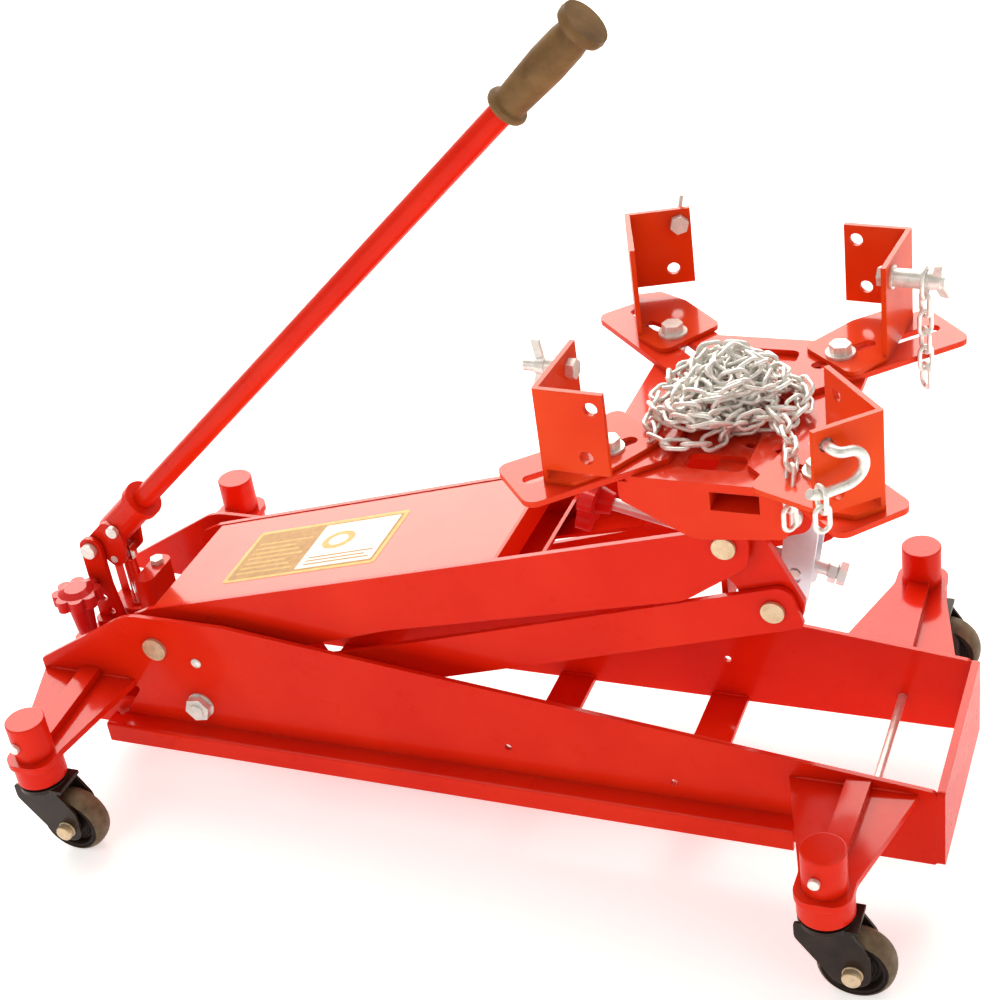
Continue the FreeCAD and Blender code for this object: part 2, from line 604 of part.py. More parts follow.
YOKE_LEG = [                   # along the socket, above its axis, corner radius
    (-22, -4, 12), (-20, 16, 12), (30, 16, 10), (42, 0, 8),
    (30, -17, 14), (10, -34, 12), (-8, -34, 10), (-10, -14, 6),
]
leg_outline = []
for along, above, radius in YOKE_LEG:
    point = HANDLE_BASE + HANDLE_DIR * along + HANDLE_NORMAL * above
    leg_outline.append((point.x, point.z, radius))
yoke_leg = cut(prism_xz(leg_outline, -20, -14),
               cyl_y(LEVER_PIN_R + FIT, HANDLE_PIVOT, -30, 0),
               cyl_y(PLUNGER_PIN_R, PLUNGER_PIN, -30, 0), handle_bolt(4.05, -40, 0))
socket = fuse(cyl(19, handle_point(14), handle_point(84)),
              cyl(22.5, handle_point(76), handle_point(86)))
socket = fuse(socket, *both(yoke_leg))
export("handle_socket", cut(socket, cyl(12.6, handle_point(22), handle_point(90)),
                            handle_bolt(4.05, -40, 40)))
export("lever_pivot_pin", fuse(cyl_y(LEVER_PIN_R - FIT, HANDLE_PIVOT, -28.3, 28.3),
                               cyl_y(9, HANDLE_PIVOT, -35, -28.3),
                               hex_y(16, HANDLE_PIVOT, 28.3, 35)))
export("lever_hardware",
       [cyl_y(PLUNGER_PIN_R, PLUNGER_PIN, -20.5, 20.5),
        fuse(handle_bolt(3.95, -21, 21), handle_bolt(7, -25.5, -20.05),
             handle_bolt(7, 20.05, 25.5))])
export("handle_tube",
       cut(cyl(12.5, handle_point(22.2), handle_point(HANDLE_LENGTH - 8)),
           cyl(10.0, handle_point(21), handle_point(HANDLE_LENGTH - 12)),
           handle_bolt(4.05, -40, 40)))

GRIP_PROFILE = [               # radius, distance from the grip's lower end
    (12.6, 0), (20, 0), (21, 3), (20, 6), (16, 8), (17.2, 30), (18.6, 60), (18.0, 88),
    (16.5, 100), (17, 104), (23.5, 106), (24.5, 111), (23.5, GRIP_LENGTH), (0, GRIP_LENGTH),
    (0, GRIP_LENGTH - 6), (12.6, GRIP_LENGTH - 6),
]
export("handle_grip", turned(GRIP_PROFILE, handle_point(HANDLE_LENGTH - GRIP_LENGTH + 6),
                             HANDLE_DIR, HANDLE_NORMAL))

# ---------------------------------------------------------------------------
# Knuckle at the arm's front end, and the tilt screw that runs through it
# ---------------------------------------------------------------------------
SCREW_DIR = Vec(SCREW_FRONT[0] - SCREW_REAR[0], 0, SCREW_FRONT[1] - SCREW_REAR[1])
SCREW_DIR.normalize()
SCREW_R = 6.5
SCREW_BORE_R = 6.6


def screw_point(x, offset=0.0):
    """Point on the screw axis at x, moved offset along the axis."""
    along = (x - SCREW_REAR[0]) / SCREW_DIR.x
    return Vec(SCREW_REAR[0], 0, SCREW_REAR[1]) + SCREW_DIR * (along + offset)


def screw_cyl(radius, x, start, end):
    return Part.makeCylinder(radius, end - start, screw_point(x, start), SCREW_DIR)


KNUCKLE_OUTLINE = [            # x, z, corner radius
    (288, 372, 14), (290, 404, 18), (318, 414, 22), (338, 404, 18), (382, 317, 8),
    (379, 297, 12), (358, 283, 18), (330, 292, 20), (316, 330, 30), (292, 352, 14),
]
TILT_CHEEK = [                 # x, z, corner radius
    (292, 396, 4), (292, 352, 4), (316, 340, 20), (352, 372, 20),
    (386, 384, 16), (388, 412, 18), (352, 418, 16),
]
knuckle_plates = both(prism_xz(KNUCKLE_OUTLINE, -KNUCKLE_OUT, -KNUCKLE_OUT + KNUCKLE_T))
knuckle_web = cut(box(300, 306, -67, 67, 298, 366), screw_cyl(12.05, BUSH_X, -30, 30))
tilt_cheeks = [prism_xz(TILT_CHEEK, y0, y1) for y0, y1 in both_sides(44, 52)]
knuckle = cut(fuse(*knuckle_plates, knuckle_web, *tilt_cheeks),
              cyl_y(PIN_R + FIT, ARM_FRONT, -90, 90),
              cyl_y(PIN_R + FIT, LINK_FRONT, -90, -60), cyl_y(PIN_R + FIT, LINK_FRONT, 60, 90),
              cyl_y(TILT_PIN_R + FIT, TILT, -60, 60))
# flanged bush that holds the screw in the web
bush = cut(fuse(screw_cyl(12, BUSH_X, -9, 11), screw_cyl(17, BUSH_X, 7.4, 11)),
           screw_cyl(SCREW_BORE_R, BUSH_X, -60, 60))
export("knuckle", [knuckle, bush])

# Screw with a collar on each side of the bush, and two nuts at its front end
screw = fuse(screw_cyl(SCREW_R, SCREW_REAR[0], 0, 256),
             screw_cyl(10, BUSH_X, -14.5, -9.2), screw_cyl(10, BUSH_X, 11.2, 16.5))
end_nuts = []
for offset in (30, 39):
    nut = hex_along(screw_point(NUT_X, offset), SCREW_DIR, SIDEWAYS, 7.5, 12, 30 + offset)
    end_nuts.append(cut(nut, screw_cyl(SCREW_R, NUT_X, -20, 60)))
export("tilt_screw", [screw] + end_nuts)

# Travelling nut with trunnions, between the tilt straps
tilt_nut = fuse(screw_cyl(12, NUT_X, -8, 8),
                Part.makeCylinder(5.0, 46, screw_point(NUT_X) + Vec(0, -23, 0), SIDEWAYS))
export("tilt_nut", cut(tilt_nut, screw_cyl(SCREW_BORE_R, NUT_X, -40, 40)))

# Star knob on the screw's rear end
tilt_knob = fuse(star((0, 0), 0, 15, 34, 5, 11.0), Part.makeCone(15, 11, 16, Vec(0, 0, 14), UP))
tilt_knob = cut(tilt_knob, cyl_z(SCREW_R, (0, 0), 6, 40))
tilt_knob.Placement = FreeCAD.Placement(screw_point(SCREW_REAR[0]) - SCREW_DIR * 6,
                                        FreeCAD.Rotation(UP, SCREW_DIR))
export("tilt_knob", tilt_knob)

# ---------------------------------------------------------------------------
# Saddle table on the tilt pin
# ---------------------------------------------------------------------------
ARM_COS = math.cos(math.radians(SADDLE_ARM_DEG))
ARM_SIN = math.sin(math.radians(SADDLE_ARM_DEG))
TABLE_TOP = TABLE_Z + TABLE_T


def arm_point(quad, along, across):
    """Point on a saddle arm: along it from the middle, and across it."""
    return (SADDLE_X + quad[0] * (along * ARM_COS - across * ARM_SIN),
            quad[1] * (ARM_ROOT_Y + along * ARM_SIN + across * ARM_COS))


def arm_rectangle(quad, start, end, half, radii):
    points = [arm_point(quad, *p) for p in rectangle(start, end, -half, half)]
    return with_radii(points, radii)


def table_plate():
    outline = [(TABLE_X0, -82), (TABLE_X0 + 34, -TABLE_Y), (TABLE_X1 - 34, -TABLE_Y),
               (TABLE_X1, -82), (TABLE_X1, 82), (TABLE_X1 - 34, TABLE_Y),
               (TABLE_X0 + 34, TABLE_Y), (TABLE_X0, 82)]
    z0, z1 = TABLE_Z - 1, TABLE_TOP + 1
    windows = [prism_xy(rectangle(287, 342, y0, y1), z0, z1, 8)
               for y0, y1 in both_sides(86, 112)]
    plate = cut(prism_xy(outline, TABLE_Z, TABLE_TOP, 6), *windows,
                cyl_z(4.5, (338, -66), z0, z1))
    # relief under each arm, open at its outer end
    for quad in QUADS.values():
        plate = cut(plate, prism_xy(arm_rectangle(quad, 60, 230, 17, (16, 0, 0, 16)), z0, z1))
    return plate


TUBE_X0, TUBE_X1, TUBE_Z0 = 314, 365, 451      # rectangular tube under the plate
SKIRT = [                      # x, z, corner radius
    (232, TABLE_Z, 0), (388, TABLE_Z, 0), (388, 430, 12), (300, 420, 30), (232, 456, 8),
]
TILT_LUG = [                   # x, z, corner radius
    (338, 453, 0), (346, 400, 10), (352, 382, 14), (386, 384, 14),
    (390, 410, 14), (384, TABLE_Z, 0), (364, TABLE_Z, 0), (364, 453, 0),
]
tube_bore = box(TUBE_X0 + 3, TUBE_X1 - 3, -TABLE_Y - 1, TABLE_Y + 1, TUBE_Z0 + 3, TABLE_Z - 3)
cross_tube = cut(box(TUBE_X0, TUBE_X1, -TABLE_Y, TABLE_Y, TUBE_Z0, TABLE_Z), tube_bore)
tube_gap = box(TUBE_X0, TUBE_X1, -TABLE_Y - 1, TABLE_Y + 1, TUBE_Z0, TABLE_Z + 1)
skirts = [cut(prism_xz(SKIRT, y0, y1), tube_gap) for y0, y1 in both_sides(TABLE_Y - 5, TABLE_Y)]
lugs = [prism_xz(TILT_LUG, y0, y1) for y0, y1 in both_sides(34, 42)]
table = fuse(table_plate(), cross_tube, *skirts, *lugs)
export("saddle_table", cut(table, cyl_y(TILT_PIN_R, TILT, -60, 60), tube_bore))
export("tilt_pivot_pin", headed_pin(TILT, TILT_PIN_R - FIT, 54, 11, 52.3, 58))

# Straps that carry the travelling nut, each with a slot along the line to the tilt pin
TILT_STRAP = [                 # x, z, corner radius
    (365.3, TABLE_Z, 0), (391, TABLE_Z, 0), (390, 404, 40), (383, 350, 60), (370, 274, 7),
    (347, 274, 7), (344, 300, 30), (356, 396, 40), (365.3, 446, 10),
]
nut_centre = screw_point(NUT_X)
to_pin = Vec(TILT[0], 0, TILT[1]) - nut_centre
to_pin.normalize()
slot_top = nut_centre + to_pin * 1.6
slot_bottom = nut_centre - to_pin * 4.9
slot_outline = capsule((slot_top.x, slot_top.z), (slot_bottom.x, slot_bottom.z), 5.9)
export("tilt_straps", [cut(prism_xz(TILT_STRAP, y0, y1),
                           prism_xz(slot_outline, y0 - 1, y1 + 1, 5.8),
                           cyl_y(TILT_PIN_R, TILT, -60, 60))
                       for y0, y1 in both_sides(17, 23)])

# ---------------------------------------------------------------------------
# Four slotted arms on the table
# ---------------------------------------------------------------------------
SADDLE_TOP = TABLE_TOP + TABLE_T       # top face of the arms


def saddle_arm(quad):
    arm = prism_xy(arm_rectangle(quad, 20, SADDLE_ARM_END, SADDLE_ARM_W / 2, (0, 12, 12, 0)),
                   TABLE_TOP, SADDLE_TOP)
    arm = cut(arm, prism_xy(arm_rectangle(quad, 72, 212, 7, (6.9,) * 4), TABLE_Z, TABLE_Z + 20))
    # the inner ends stop short of the middle, and neighbours meet on the centre plane
    x0, x1 = (SADDLE_X + 36, 700) if quad[0] > 0 else (0, SADDLE_X - 36)
    y0, y1 = (0.0, 400) if quad[1] > 0 else (-400, 0.0)
    arm = arm.common(box(x0, x1, -400, 400, TABLE_Z, TABLE_Z + 30))
    return arm.common(box(0, 700, y0, y1, TABLE_Z, TABLE_Z + 30))


arms = [saddle_arm(quad) for quad in QUADS.values()]
export("saddle_arms", [fuse(arms[0], arms[1]), fuse(arms[2], arms[3])])

# ---------------------------------------------------------------------------
# Adjustable corner brackets (ears): a slotted foot, a wall and a wing at right angles
# ---------------------------------------------------------------------------
EAR_TOP = 585.0
EAR_T = 5.0
WING_LENGTH, WALL_LENGTH = 66.0, 90.0
EAR_CORNER = (100.0, 22.0)     # in the bracket's own frame
WING_DEG, WALL_DEG = 130, 220  # directions of wing and wall from the corner
EARS = {  # quadrant: clamp position along the arm, clamp point in the bracket, turn in degrees
    "rear_far": (133.0, (5.3, -12.0), -14.0),
    "front_far": (103.0, (0.0, -3.5), 2.0),
    "rear_near": (126.0, (27.9, 14.0), 4.0),
    "front_near": (139.0, (28.2, -10.0), -35.0),
}
WING_HOLE = WING_LENGTH - 12   # upper hole of the wing, from the corner
WALL_HOLE = 70
WING_DROP, WALL_DROP = 15, 18  # those holes below the top edge


def unit(degrees):
    return math.cos(math.radians(degrees)), math.sin(math.radians(degrees))


def ear_place(name, point):
    """Place a point of the bracket's own frame; returns (x, y)."""
    clamp_along, clamp_point, turn = EARS[name]
    cos_t, sin_t = unit(turn)
    du, dv = point[0] - clamp_point[0], point[1] - clamp_point[1]
    return arm_point(QUADS[name], clamp_along + du * cos_t - dv * sin_t, du * sin_t + dv * cos_t)


def ear_direction(name, degrees):
    start, end = ear_place(name, (0, 0)), ear_place(name, unit(degrees))
    return Vec(end[0] - start[0], end[1] - start[1], 0)


def from_corner(along_wing, along_wall):
    """Point in the bracket's frame, measured from its corner."""
    wing, wall = unit(WING_DEG), unit(WALL_DEG)
    return (EAR_CORNER[0] + wing[0] * along_wing + wall[0] * along_wall,
            EAR_CORNER[1] + wing[1] * along_wing + wall[1] * along_wall)


def ear(name):
    clamp_point = EARS[name][1]

    def prism(points, z0, z1, radii):
        return prism_xy(with_radii([ear_place(name, p) for p in points], radii), z0, z1)

    def from_corners(pairs):
        return [from_corner(*pair) for pair in pairs]

    foot = prism([from_corner(0, 0), from_corner(0, WALL_LENGTH), (-14, -44), (-20, 30),
                  (45, 46), (80.7, 45)], SADDLE_TOP, SADDLE_TOP + EAR_T, (1, 4, 10, 10, 12, 6))
    wall = prism(from_corners([(0, 0), (0, WALL_LENGTH), (EAR_T, WALL_LENGTH), (EAR_T, 0)]),
                 SADDLE_TOP, EAR_TOP, (2, 0, 0, 0))
    wing = prism(from_corners([(0, 0), (WING_LENGTH, 0), (WING_LENGTH, EAR_T), (0, EAR_T)]),
                 SADDLE_TOP + 15, EAR_TOP, (2, 0, 0, 0))
    bracket = fuse(foot, wall, wing)
    # two holes in the wing and one in the wall: start, drop, direction
    for start, drop, degrees in (((WING_HOLE, -5), WING_DROP, WALL_DEG),
                                 ((WING_LENGTH - 21, -5), 65, WALL_DEG),
                                 ((-5, WALL_HOLE), WALL_DROP, WING_DEG)):
        x, y = ear_place(name, from_corner(*start))
        bracket = cut(bracket, Part.makeCylinder(6.5, 15, Vec(x, y, EAR_TOP - drop),
                                                 ear_direction(name, degrees)))
    # slot in the foot for the clamp bolt
    first, last = (-2, 32) if clamp_point[0] < 20 else (-22, 8)
    slot = rectangle(clamp_point[0] + first - 6.6, clamp_point[0] + last + 6.6,
                     clamp_point[1] - 6.6, clamp_point[1] + 6.6)
    return cut(bracket, prism(slot, SADDLE_TOP - 1, SADDLE_TOP + EAR_T + 1, (6.5,) * 4))


for ear_name in EARS:
    export("ear_" + ear_name, ear(ear_name))

# ---------------------------------------------------------------------------
# Clamp bolts of the brackets, and the chain anchor bolts
# ---------------------------------------------------------------------------
CLAMP_R = 5.9
CLAMP_FLATS = 19
WASHER_R, WASHER_T = 14.5, 2.5
ANCHOR_R = 5.5


def clamp(name):
    at = arm_point(QUADS[name], EARS[name][0], 0)
    foot_z = SADDLE_TOP + EAR_T
    head_z0, head_z1 = foot_z + WASHER_T, foot_z + 11
    bolt = fuse(cyl_z(CLAMP_R, at, TABLE_TOP - 12, head_z0),
                hex_z(CLAMP_FLATS, at, head_z0, head_z1, 12))
    # trims the corners of the head
    bolt = bolt.common(fuse(cyl_z(10.6, at, head_z0, head_z1),
                            cyl_z(8, at, TABLE_TOP - 20, foot_z + 5)))
    upper_washer = cut(cyl_z(WASHER_R, at, foot_z, head_z0),
                       cyl_z(CLAMP_R, at, foot_z - 1, foot_z + 4))
    lower_washer = cut(cyl_z(WASHER_R, at, TABLE_TOP - WASHER_T, TABLE_TOP),
                       cyl_z(CLAMP_R, at, TABLE_TOP - 4, TABLE_TOP + 1))
    nut = cut(hex_z(CLAMP_FLATS, at, TABLE_TOP - 11, TABLE_TOP - WASHER_T, 20),
              cyl_z(CLAMP_R, at, TABLE_TOP - 13, TABLE_TOP))
    return [bolt, upper_washer, lower_washer, nut]


def wing_nut(origin, direction, start, tilt):
    """Hub and two blades; tilt turns the blades from upright, in radians."""
    hub = Part.makeCone(9.5, 7.5, 10, origin + direction * start, direction)
    radial = UP * math.cos(tilt) + direction.cross(UP) * math.sin(tilt)
    normal = direction.cross(radial)
    blades = []
    for sign in (1, -1):
        points = [origin + direction * (start + along) + radial * (out * sign) - normal * 1.8
                  for along, out in ((2, 5), (7, 24), (15, 25), (10, 5))]
        blades.append(polygon_prism(points, normal * 3.6))
    return cut(fuse(hub, *blades),
               cyl_along(ANCHOR_R, origin, direction, start - 1, start + 30))


ANCHORS = {
    # quadrant: hole from the corner (along wing, along wall), inward direction, drop from
    # the top, wing nut's distance from the outer face, bolt length, blade tilt
    "rear_far": ((WING_HOLE, 0), WALL_DEG, WING_DROP, 2, 22, 0.25),
    "front_far": ((0, WALL_HOLE), WING_DEG, WALL_DROP, 36, 50, 0.5),
    "rear_near": ((0, WALL_HOLE), WING_DEG, WALL_DROP, 16, 38, 0.2),
}


def anchor_axis(name):
    """Point on the outer face, and the direction outward through the hole."""
    hole, inward, drop = ANCHORS[name][:3]
    x, y = ear_place(name, from_corner(*hole))
    return Vec(x, y, EAR_TOP - drop), ear_direction(name, inward) * -1.0


def anchor_bolt(name):
    origin, outward = anchor_axis(name)
    gap, length, tilt = ANCHORS[name][3:]
    head = hex_along(origin + outward * (-EAR_T - 8), outward, UP, 8, 17 / math.sqrt(3), 15)
    parts = [fuse(cyl_along(ANCHOR_R, origin, outward, -EAR_T, length), head),
             cut(cyl_along(11.5, origin, outward, 0, 2),
                 cyl_along(ANCHOR_R, origin, outward, -1, 3)),
             wing_nut(origin, outward, gap, tilt)]
    if gap > 4:                # spacer between washer and wing nut
        parts.append(cut(cyl_along(9, origin, outward, 2, gap),
                         cyl_along(ANCHOR_R, origin, outward, 1, gap + 1)))
    return parts


for ear_name in EARS:
    anchor_parts = anchor_bolt(ear_name) if ear_name in ANCHORS else []
    export("hardware_" + ear_name, clamp(ear_name) + anchor_parts)

# ---------------------------------------------------------------------------
# Load chain: every link is a separate solid
# ---------------------------------------------------------------------------
WIRE, CHAIN_L, CHAIN_W = 4.4, 29.0, 17.5       # wire diameter, outer length, outer width
PITCH = CHAIN_L - 2 * WIRE - 1.2


def chain_link(centre, along, across, length=CHAIN_L, width=CHAIN_W):
    """Oval link with its long axis along, lying in the plane of along and across."""
    along = Vec(along)
    along.normalize()
    across = Vec(across) - along * Vec(across).dot(along)
    across.normalize()
    half = (length - width) / 2        # half length of the straight flanks
    bend = (width - WIRE) / 2          # centre-line radius of the bends
    normal = along.cross(across)
    flanks = [Part.makeCylinder(WIRE / 2, 2 * half, centre - along * half + across * side, along)
              for side in (bend, -bend)]
    bends = []
    for sign in (1, -1):
        circle = Part.Circle(centre + along * (half * sign) + across * bend, along, WIRE / 2)
        face = Part.Face(Part.Wire([circle.toShape()]))
        bends.append(face.revolve(centre + along * (half * sign), normal, -180 * sign))
    link = flanks[0]
    for part in bends + [flanks[1]]:
        link = link.fuse(part)
    return link.removeSplitter().Solids[0]


def lay_chain(path, pitch=PITCH):
    """Links along a nearly level list of points, rolled by +45 and -45 degrees in turn."""
    reach = [0.0]
    for i in range(1, len(path)):
        reach.append(reach[-1] + (path[i] - path[i - 1]).Length)

    def point_at(distance):
        distance = min(max(distance, 0.0), reach[-1])
        j = 1
        while j < len(reach) - 1 and reach[j] < distance:
            j += 1
        fraction = (distance - reach[j - 1]) / (reach[j] - reach[j - 1])
        return path[j - 1] + (path[j] - path[j - 1]) * fraction

    links = []
    middle = pitch / 2
    while middle + pitch / 2 < reach[-1]:
        start, end = point_at(middle - pitch / 2), point_at(middle + pitch / 2)
        along = end - start
        along.normalize()
        side = along.cross(UP)
        side.normalize()
        roll = math.radians(45.0 if len(links) % 2 == 0 else -45.0)
        across = side * math.cos(roll) + side.cross(along) * math.sin(roll)
        links.append(chain_link((start + end) * 0.5, along, across))
        middle += pitch
    return links


# Pile in two layers: each is an inward spiral with a short straight run in its middle
PILE_X, PILE_Y = 308.0, -4.0
PILE_Z = TABLE_TOP + 7.1
UPPER_Z = PILE_Z + 21.7


def lower_z(x):
    """The pile rests on the plate in the middle and on the arms' inner ends beside it."""
    return PILE_Z + 6.2 * max(0.0, min(1.0, (abs(x - SADDLE_X) - 6.0) / 16.0))


def spiral(centre, start_radius, sense, phase, scale_x, scale_y, z_at):
    points = []
    step = 0
    radius = start_radius
    while radius >= 31:
        angle = sense * math.radians(step * 0.72) + phase
        x = centre[0] + radius * scale_x * math.cos(angle)
        points.append(Vec(x, centre[1] + radius * scale_y * math.sin(angle), z_at(x)))
        step += 1
        radius = start_radius - 19.5 * (step * 0.72) / 360.0
    return points


def straight_run(x, angle, z):
    dx, dy = 20 * math.cos(angle), 20 * math.sin(angle)
    return [Vec(x - dx, PILE_Y - dy, z), Vec(x + dx, PILE_Y + dy, z)]


links = lay_chain(spiral((PILE_X, PILE_Y), 60.0, 1, -0.4, 0.86, 1.02, lower_z), PITCH - 0.6)
links += lay_chain(spiral((PILE_X + 2, PILE_Y + 3), 46.0, -1, 1.0, 0.9, 1.0, lambda x: UPPER_Z),
                   PITCH - 0.6)
links += lay_chain(straight_run(PILE_X, 0.5, PILE_Z))
links += lay_chain(straight_run(PILE_X + 2.0, 2.2, UPPER_Z))
# only links clear of all those kept before them stay
pile = []
for link in links:
    if all(not link.BoundBox.intersect(kept.BoundBox) or link.common(kept).Volume < 0.003
           for kept in pile):
        pile.append(link)
export("chain_pile", pile)

# Short tail hanging from the bolt on the front far bracket, under one wide link
WIDE_L, WIDE_W = 34.0, 27.6
tail_origin, tail_outward = anchor_axis("front_far")
hang = tail_origin + tail_outward * 31.0 - UP * 3.3
tail = [chain_link(hang, UP, tail_outward.cross(UP), WIDE_L, WIDE_W)]
hang = hang - UP * ((WIDE_L / 2 - WIRE) + (CHAIN_L / 2 - WIRE) - 0.9)
for k in range(5):
    tail.append(chain_link(hang, UP, Vec(ARM_COS, ARM_SIN, 0) if k % 2
                           else Vec(ARM_SIN, -ARM_COS, 0)))
    hang = hang - UP * PITCH
export("chain_tail", tail)

# Open hook through the upper hole of the front near bracket's wing, with two links on it
HOOK_EAR = "front_near"
HOOK_R = 4.6
HOOK_LOW_Z = 536               # wire axis at the bottom of the hook
HOOK_HOLE_Z = EAR_TOP - WING_DROP
HOOK_OUT = 15                  # the hook's bend beyond the wing's outer face
hook_outward = ear_direction(HOOK_EAR, WALL_DEG) * -1.0


def wing_point(along, z, out):
    """Point at a distance along the wing from the corner, and out from its outer face."""
    x, y = ear_place(HOOK_EAR, from_corner(along, 0))
    return Vec(x, y, z) + hook_outward * out


HOOK_PATH = [                  # along the wing, z, out from the wing
    (WING_HOLE, HOOK_HOLE_Z, -13), (WING_HOLE, HOOK_HOLE_Z, -5), (WING_HOLE, HOOK_HOLE_Z, 2),
    (53.5, 570, 9), (50, 569, 14), (38, 567, HOOK_OUT), (29, 558, HOOK_OUT),
    (30, 546, HOOK_OUT), (40, 538, HOOK_OUT), (56, HOOK_LOW_Z, HOOK_OUT),
    (70, HOOK_LOW_Z, HOOK_OUT), (79, 540, HOOK_OUT),
]
hook = swept_wire([wing_point(*row) for row in HOOK_PATH], HOOK_R, hook_outward,
                  InitialTangent=hook_outward * 8.0)
hook_nut = cut(hex_along(wing_point(WING_HOLE, HOOK_HOLE_Z, -EAR_T), hook_outward * -1.0, UP,
                         7, 17 / math.sqrt(3), 15),
               cyl_along(5.0, wing_point(WING_HOLE, HOOK_HOLE_Z, 0), hook_outward, -30, 10))
link_centre = wing_point(68, HOOK_LOW_Z + HOOK_R + 0.3 - (CHAIN_L / 2 - WIRE), HOOK_OUT)
upper_link = chain_link(link_centre, UP, hook_outward, width=CHAIN_W + 2)
lower_link_centre = link_centre - UP * PITCH
export("chain_hook", [hook, hook_nut, upper_link,
                      chain_link(lower_link_centre, UP, hook_outward.cross(UP))])
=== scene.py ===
"""A red wheeled jack with a chain heaped on its saddle.

X runs along the jack, with the saddle towards +X. Y runs across it, with the near side at -Y.
Z is up from the floor. Places are given in design millimetres and turned into metres by mm().
"""
import math
import random

import bpy
import bmesh
from mathutils import Matrix, Vector


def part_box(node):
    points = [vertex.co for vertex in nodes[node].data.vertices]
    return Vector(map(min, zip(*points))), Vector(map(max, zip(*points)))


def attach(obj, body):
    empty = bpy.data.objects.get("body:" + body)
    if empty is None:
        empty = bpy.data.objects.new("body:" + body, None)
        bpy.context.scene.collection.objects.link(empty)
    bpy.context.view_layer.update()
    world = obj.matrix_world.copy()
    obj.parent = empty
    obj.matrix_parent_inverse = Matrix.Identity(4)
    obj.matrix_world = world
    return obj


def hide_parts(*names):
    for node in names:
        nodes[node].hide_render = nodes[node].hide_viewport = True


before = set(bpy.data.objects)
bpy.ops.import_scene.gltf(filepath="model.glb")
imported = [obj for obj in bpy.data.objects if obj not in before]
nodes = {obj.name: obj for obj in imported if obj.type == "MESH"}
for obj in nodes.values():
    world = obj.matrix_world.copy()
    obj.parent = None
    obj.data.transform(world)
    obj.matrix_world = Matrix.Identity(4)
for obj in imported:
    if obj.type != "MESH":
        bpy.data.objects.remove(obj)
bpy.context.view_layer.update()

rng = random.Random(7)

ORIGIN_X = 4.5  # design x of the frame's origin, mm
SIDES = ((-1, "near"), (1, "far"))  # sign of y, name


def mm(x, y, z):
    """Design coordinates in millimetres to the frame in metres."""
    return Vector(((x - ORIGIN_X) / 1000.0, y / 1000.0, z / 1000.0))


# ---------------------------------------------------------------------------
# shader helpers
# ---------------------------------------------------------------------------
def feed(tree, socket, value):
    """Link a socket into an input, or set the input's value."""
    if isinstance(value, bpy.types.NodeSocket):
        tree.links.new(value, socket)
    elif socket.type == "RGBA":
        socket.default_value = (*value, 1)
    else:
        socket.default_value = value


def add_node(tree, kind, inputs=None, **settings):
    node = tree.nodes.new(kind)
    for key, value in settings.items():
        setattr(node, key, value)
    for key, value in (inputs or {}).items():
        feed(tree, node.inputs[key], value)
    return node


class Shader:
    """A material with one Principled shader and shared object coordinates."""

    def __init__(self, name):
        self.material = bpy.data.materials.new(name)
        self.material.use_nodes = True
        self.tree = self.material.node_tree
        self.tree.nodes.clear()
        output = self.add("ShaderNodeOutputMaterial")
        self.principled = self.add("ShaderNodeBsdfPrincipled")
        feed(self.tree, output.inputs[0], self.principled.outputs[0])
        self.coord = self.object_coord()

    def add(self, kind, inputs=None, **settings):
        return add_node(self.tree, kind, inputs, **settings)

    def surface(self, inputs):
        """Set or link inputs of the Principled shader."""
        for key, value in inputs.items():
            feed(self.tree, self.principled.inputs[key], value)

    def object_coord(self):
        return self.add("ShaderNodeTexCoord").outputs["Object"]

    def noise(self, scale, detail=4.0, rough=0.55, coord=None):
        return self.add("ShaderNodeTexNoise", {
            "Scale": scale, "Detail": detail, "Roughness": rough,
            "Vector": self.coord if coord is None else coord}).outputs["Fac"]

    def ramp(self, factor, dark, light, start=0.3, end=0.75):
        node = self.add("ShaderNodeValToRGB", {0: factor})
        stops = ((start, dark), (end, light))
        for element, (position, colour) in zip(node.color_ramp.elements, stops):
            element.position = position
            element.color = (*colour, 1)
        return node.outputs[0]

    def math(self, operation, a, b=None, clamp=False):
        inputs = {0: a} if b is None else {0: a, 1: b}
        node = self.add("ShaderNodeMath", inputs, operation=operation, use_clamp=clamp)
        return node.outputs[0]

    def excess(self, factor, cut, gain):
        """What rises above cut, times gain, held between 0 and 1."""
        return self.math("MULTIPLY", self.math("SUBTRACT", factor, cut, True), gain, True)

    def mix(self, factor, a, b):
        node = self.add("ShaderNodeMix", {0: factor, 6: a, 7: b}, data_type="RGBA")
        return node.outputs[2]

    def roughness(self, factor, low, high):
        node = self.add("ShaderNodeMapRange", {"To Min": low, "To Max": high, "Value": factor})
        self.surface({"Roughness": node.outputs[0]})

    def rounded_normal(self, radius):
        node = self.add("ShaderNodeBevel", {"Radius": radius}, samples=4)
        return node.outputs[0]

    def bump(self, factor, strength, distance, edge_radius=0.0):
        node = self.add("ShaderNodeBump", {
            "Strength": strength, "Distance": distance, "Height": factor})
        if edge_radius > 0:
            feed(self.tree, node.inputs["Normal"], self.rounded_normal(edge_radius))
        self.surface({"Normal": node.outputs[0]})

    def edge_mask(self, radius):
        """Rises on edges, where the rounded and the true normal differ."""
        geometry = self.add("ShaderNodeNewGeometry")
        dot = self.add("ShaderNodeVectorMath", {
            0: self.rounded_normal(radius), 1: geometry.outputs["Normal"],
        }, operation="DOT_PRODUCT")
        return self.math("SUBTRACT", 1.0, dot.outputs["Value"], True)

    def lighter_edge_patches(self, colour, edge_colour, threshold, scale, cut, gain):
        """Show the edge colour in patches along the edges; on the red enamel they are a
        painted highlight.
        """
        edge = self.math("GREATER_THAN", self.edge_mask(radius=0.0012), threshold)
        patches = self.math("MULTIPLY", edge, self.noise(scale=scale, detail=5.0, rough=0.6))
        return self.mix(self.excess(patches, cut, gain), colour, edge_colour)


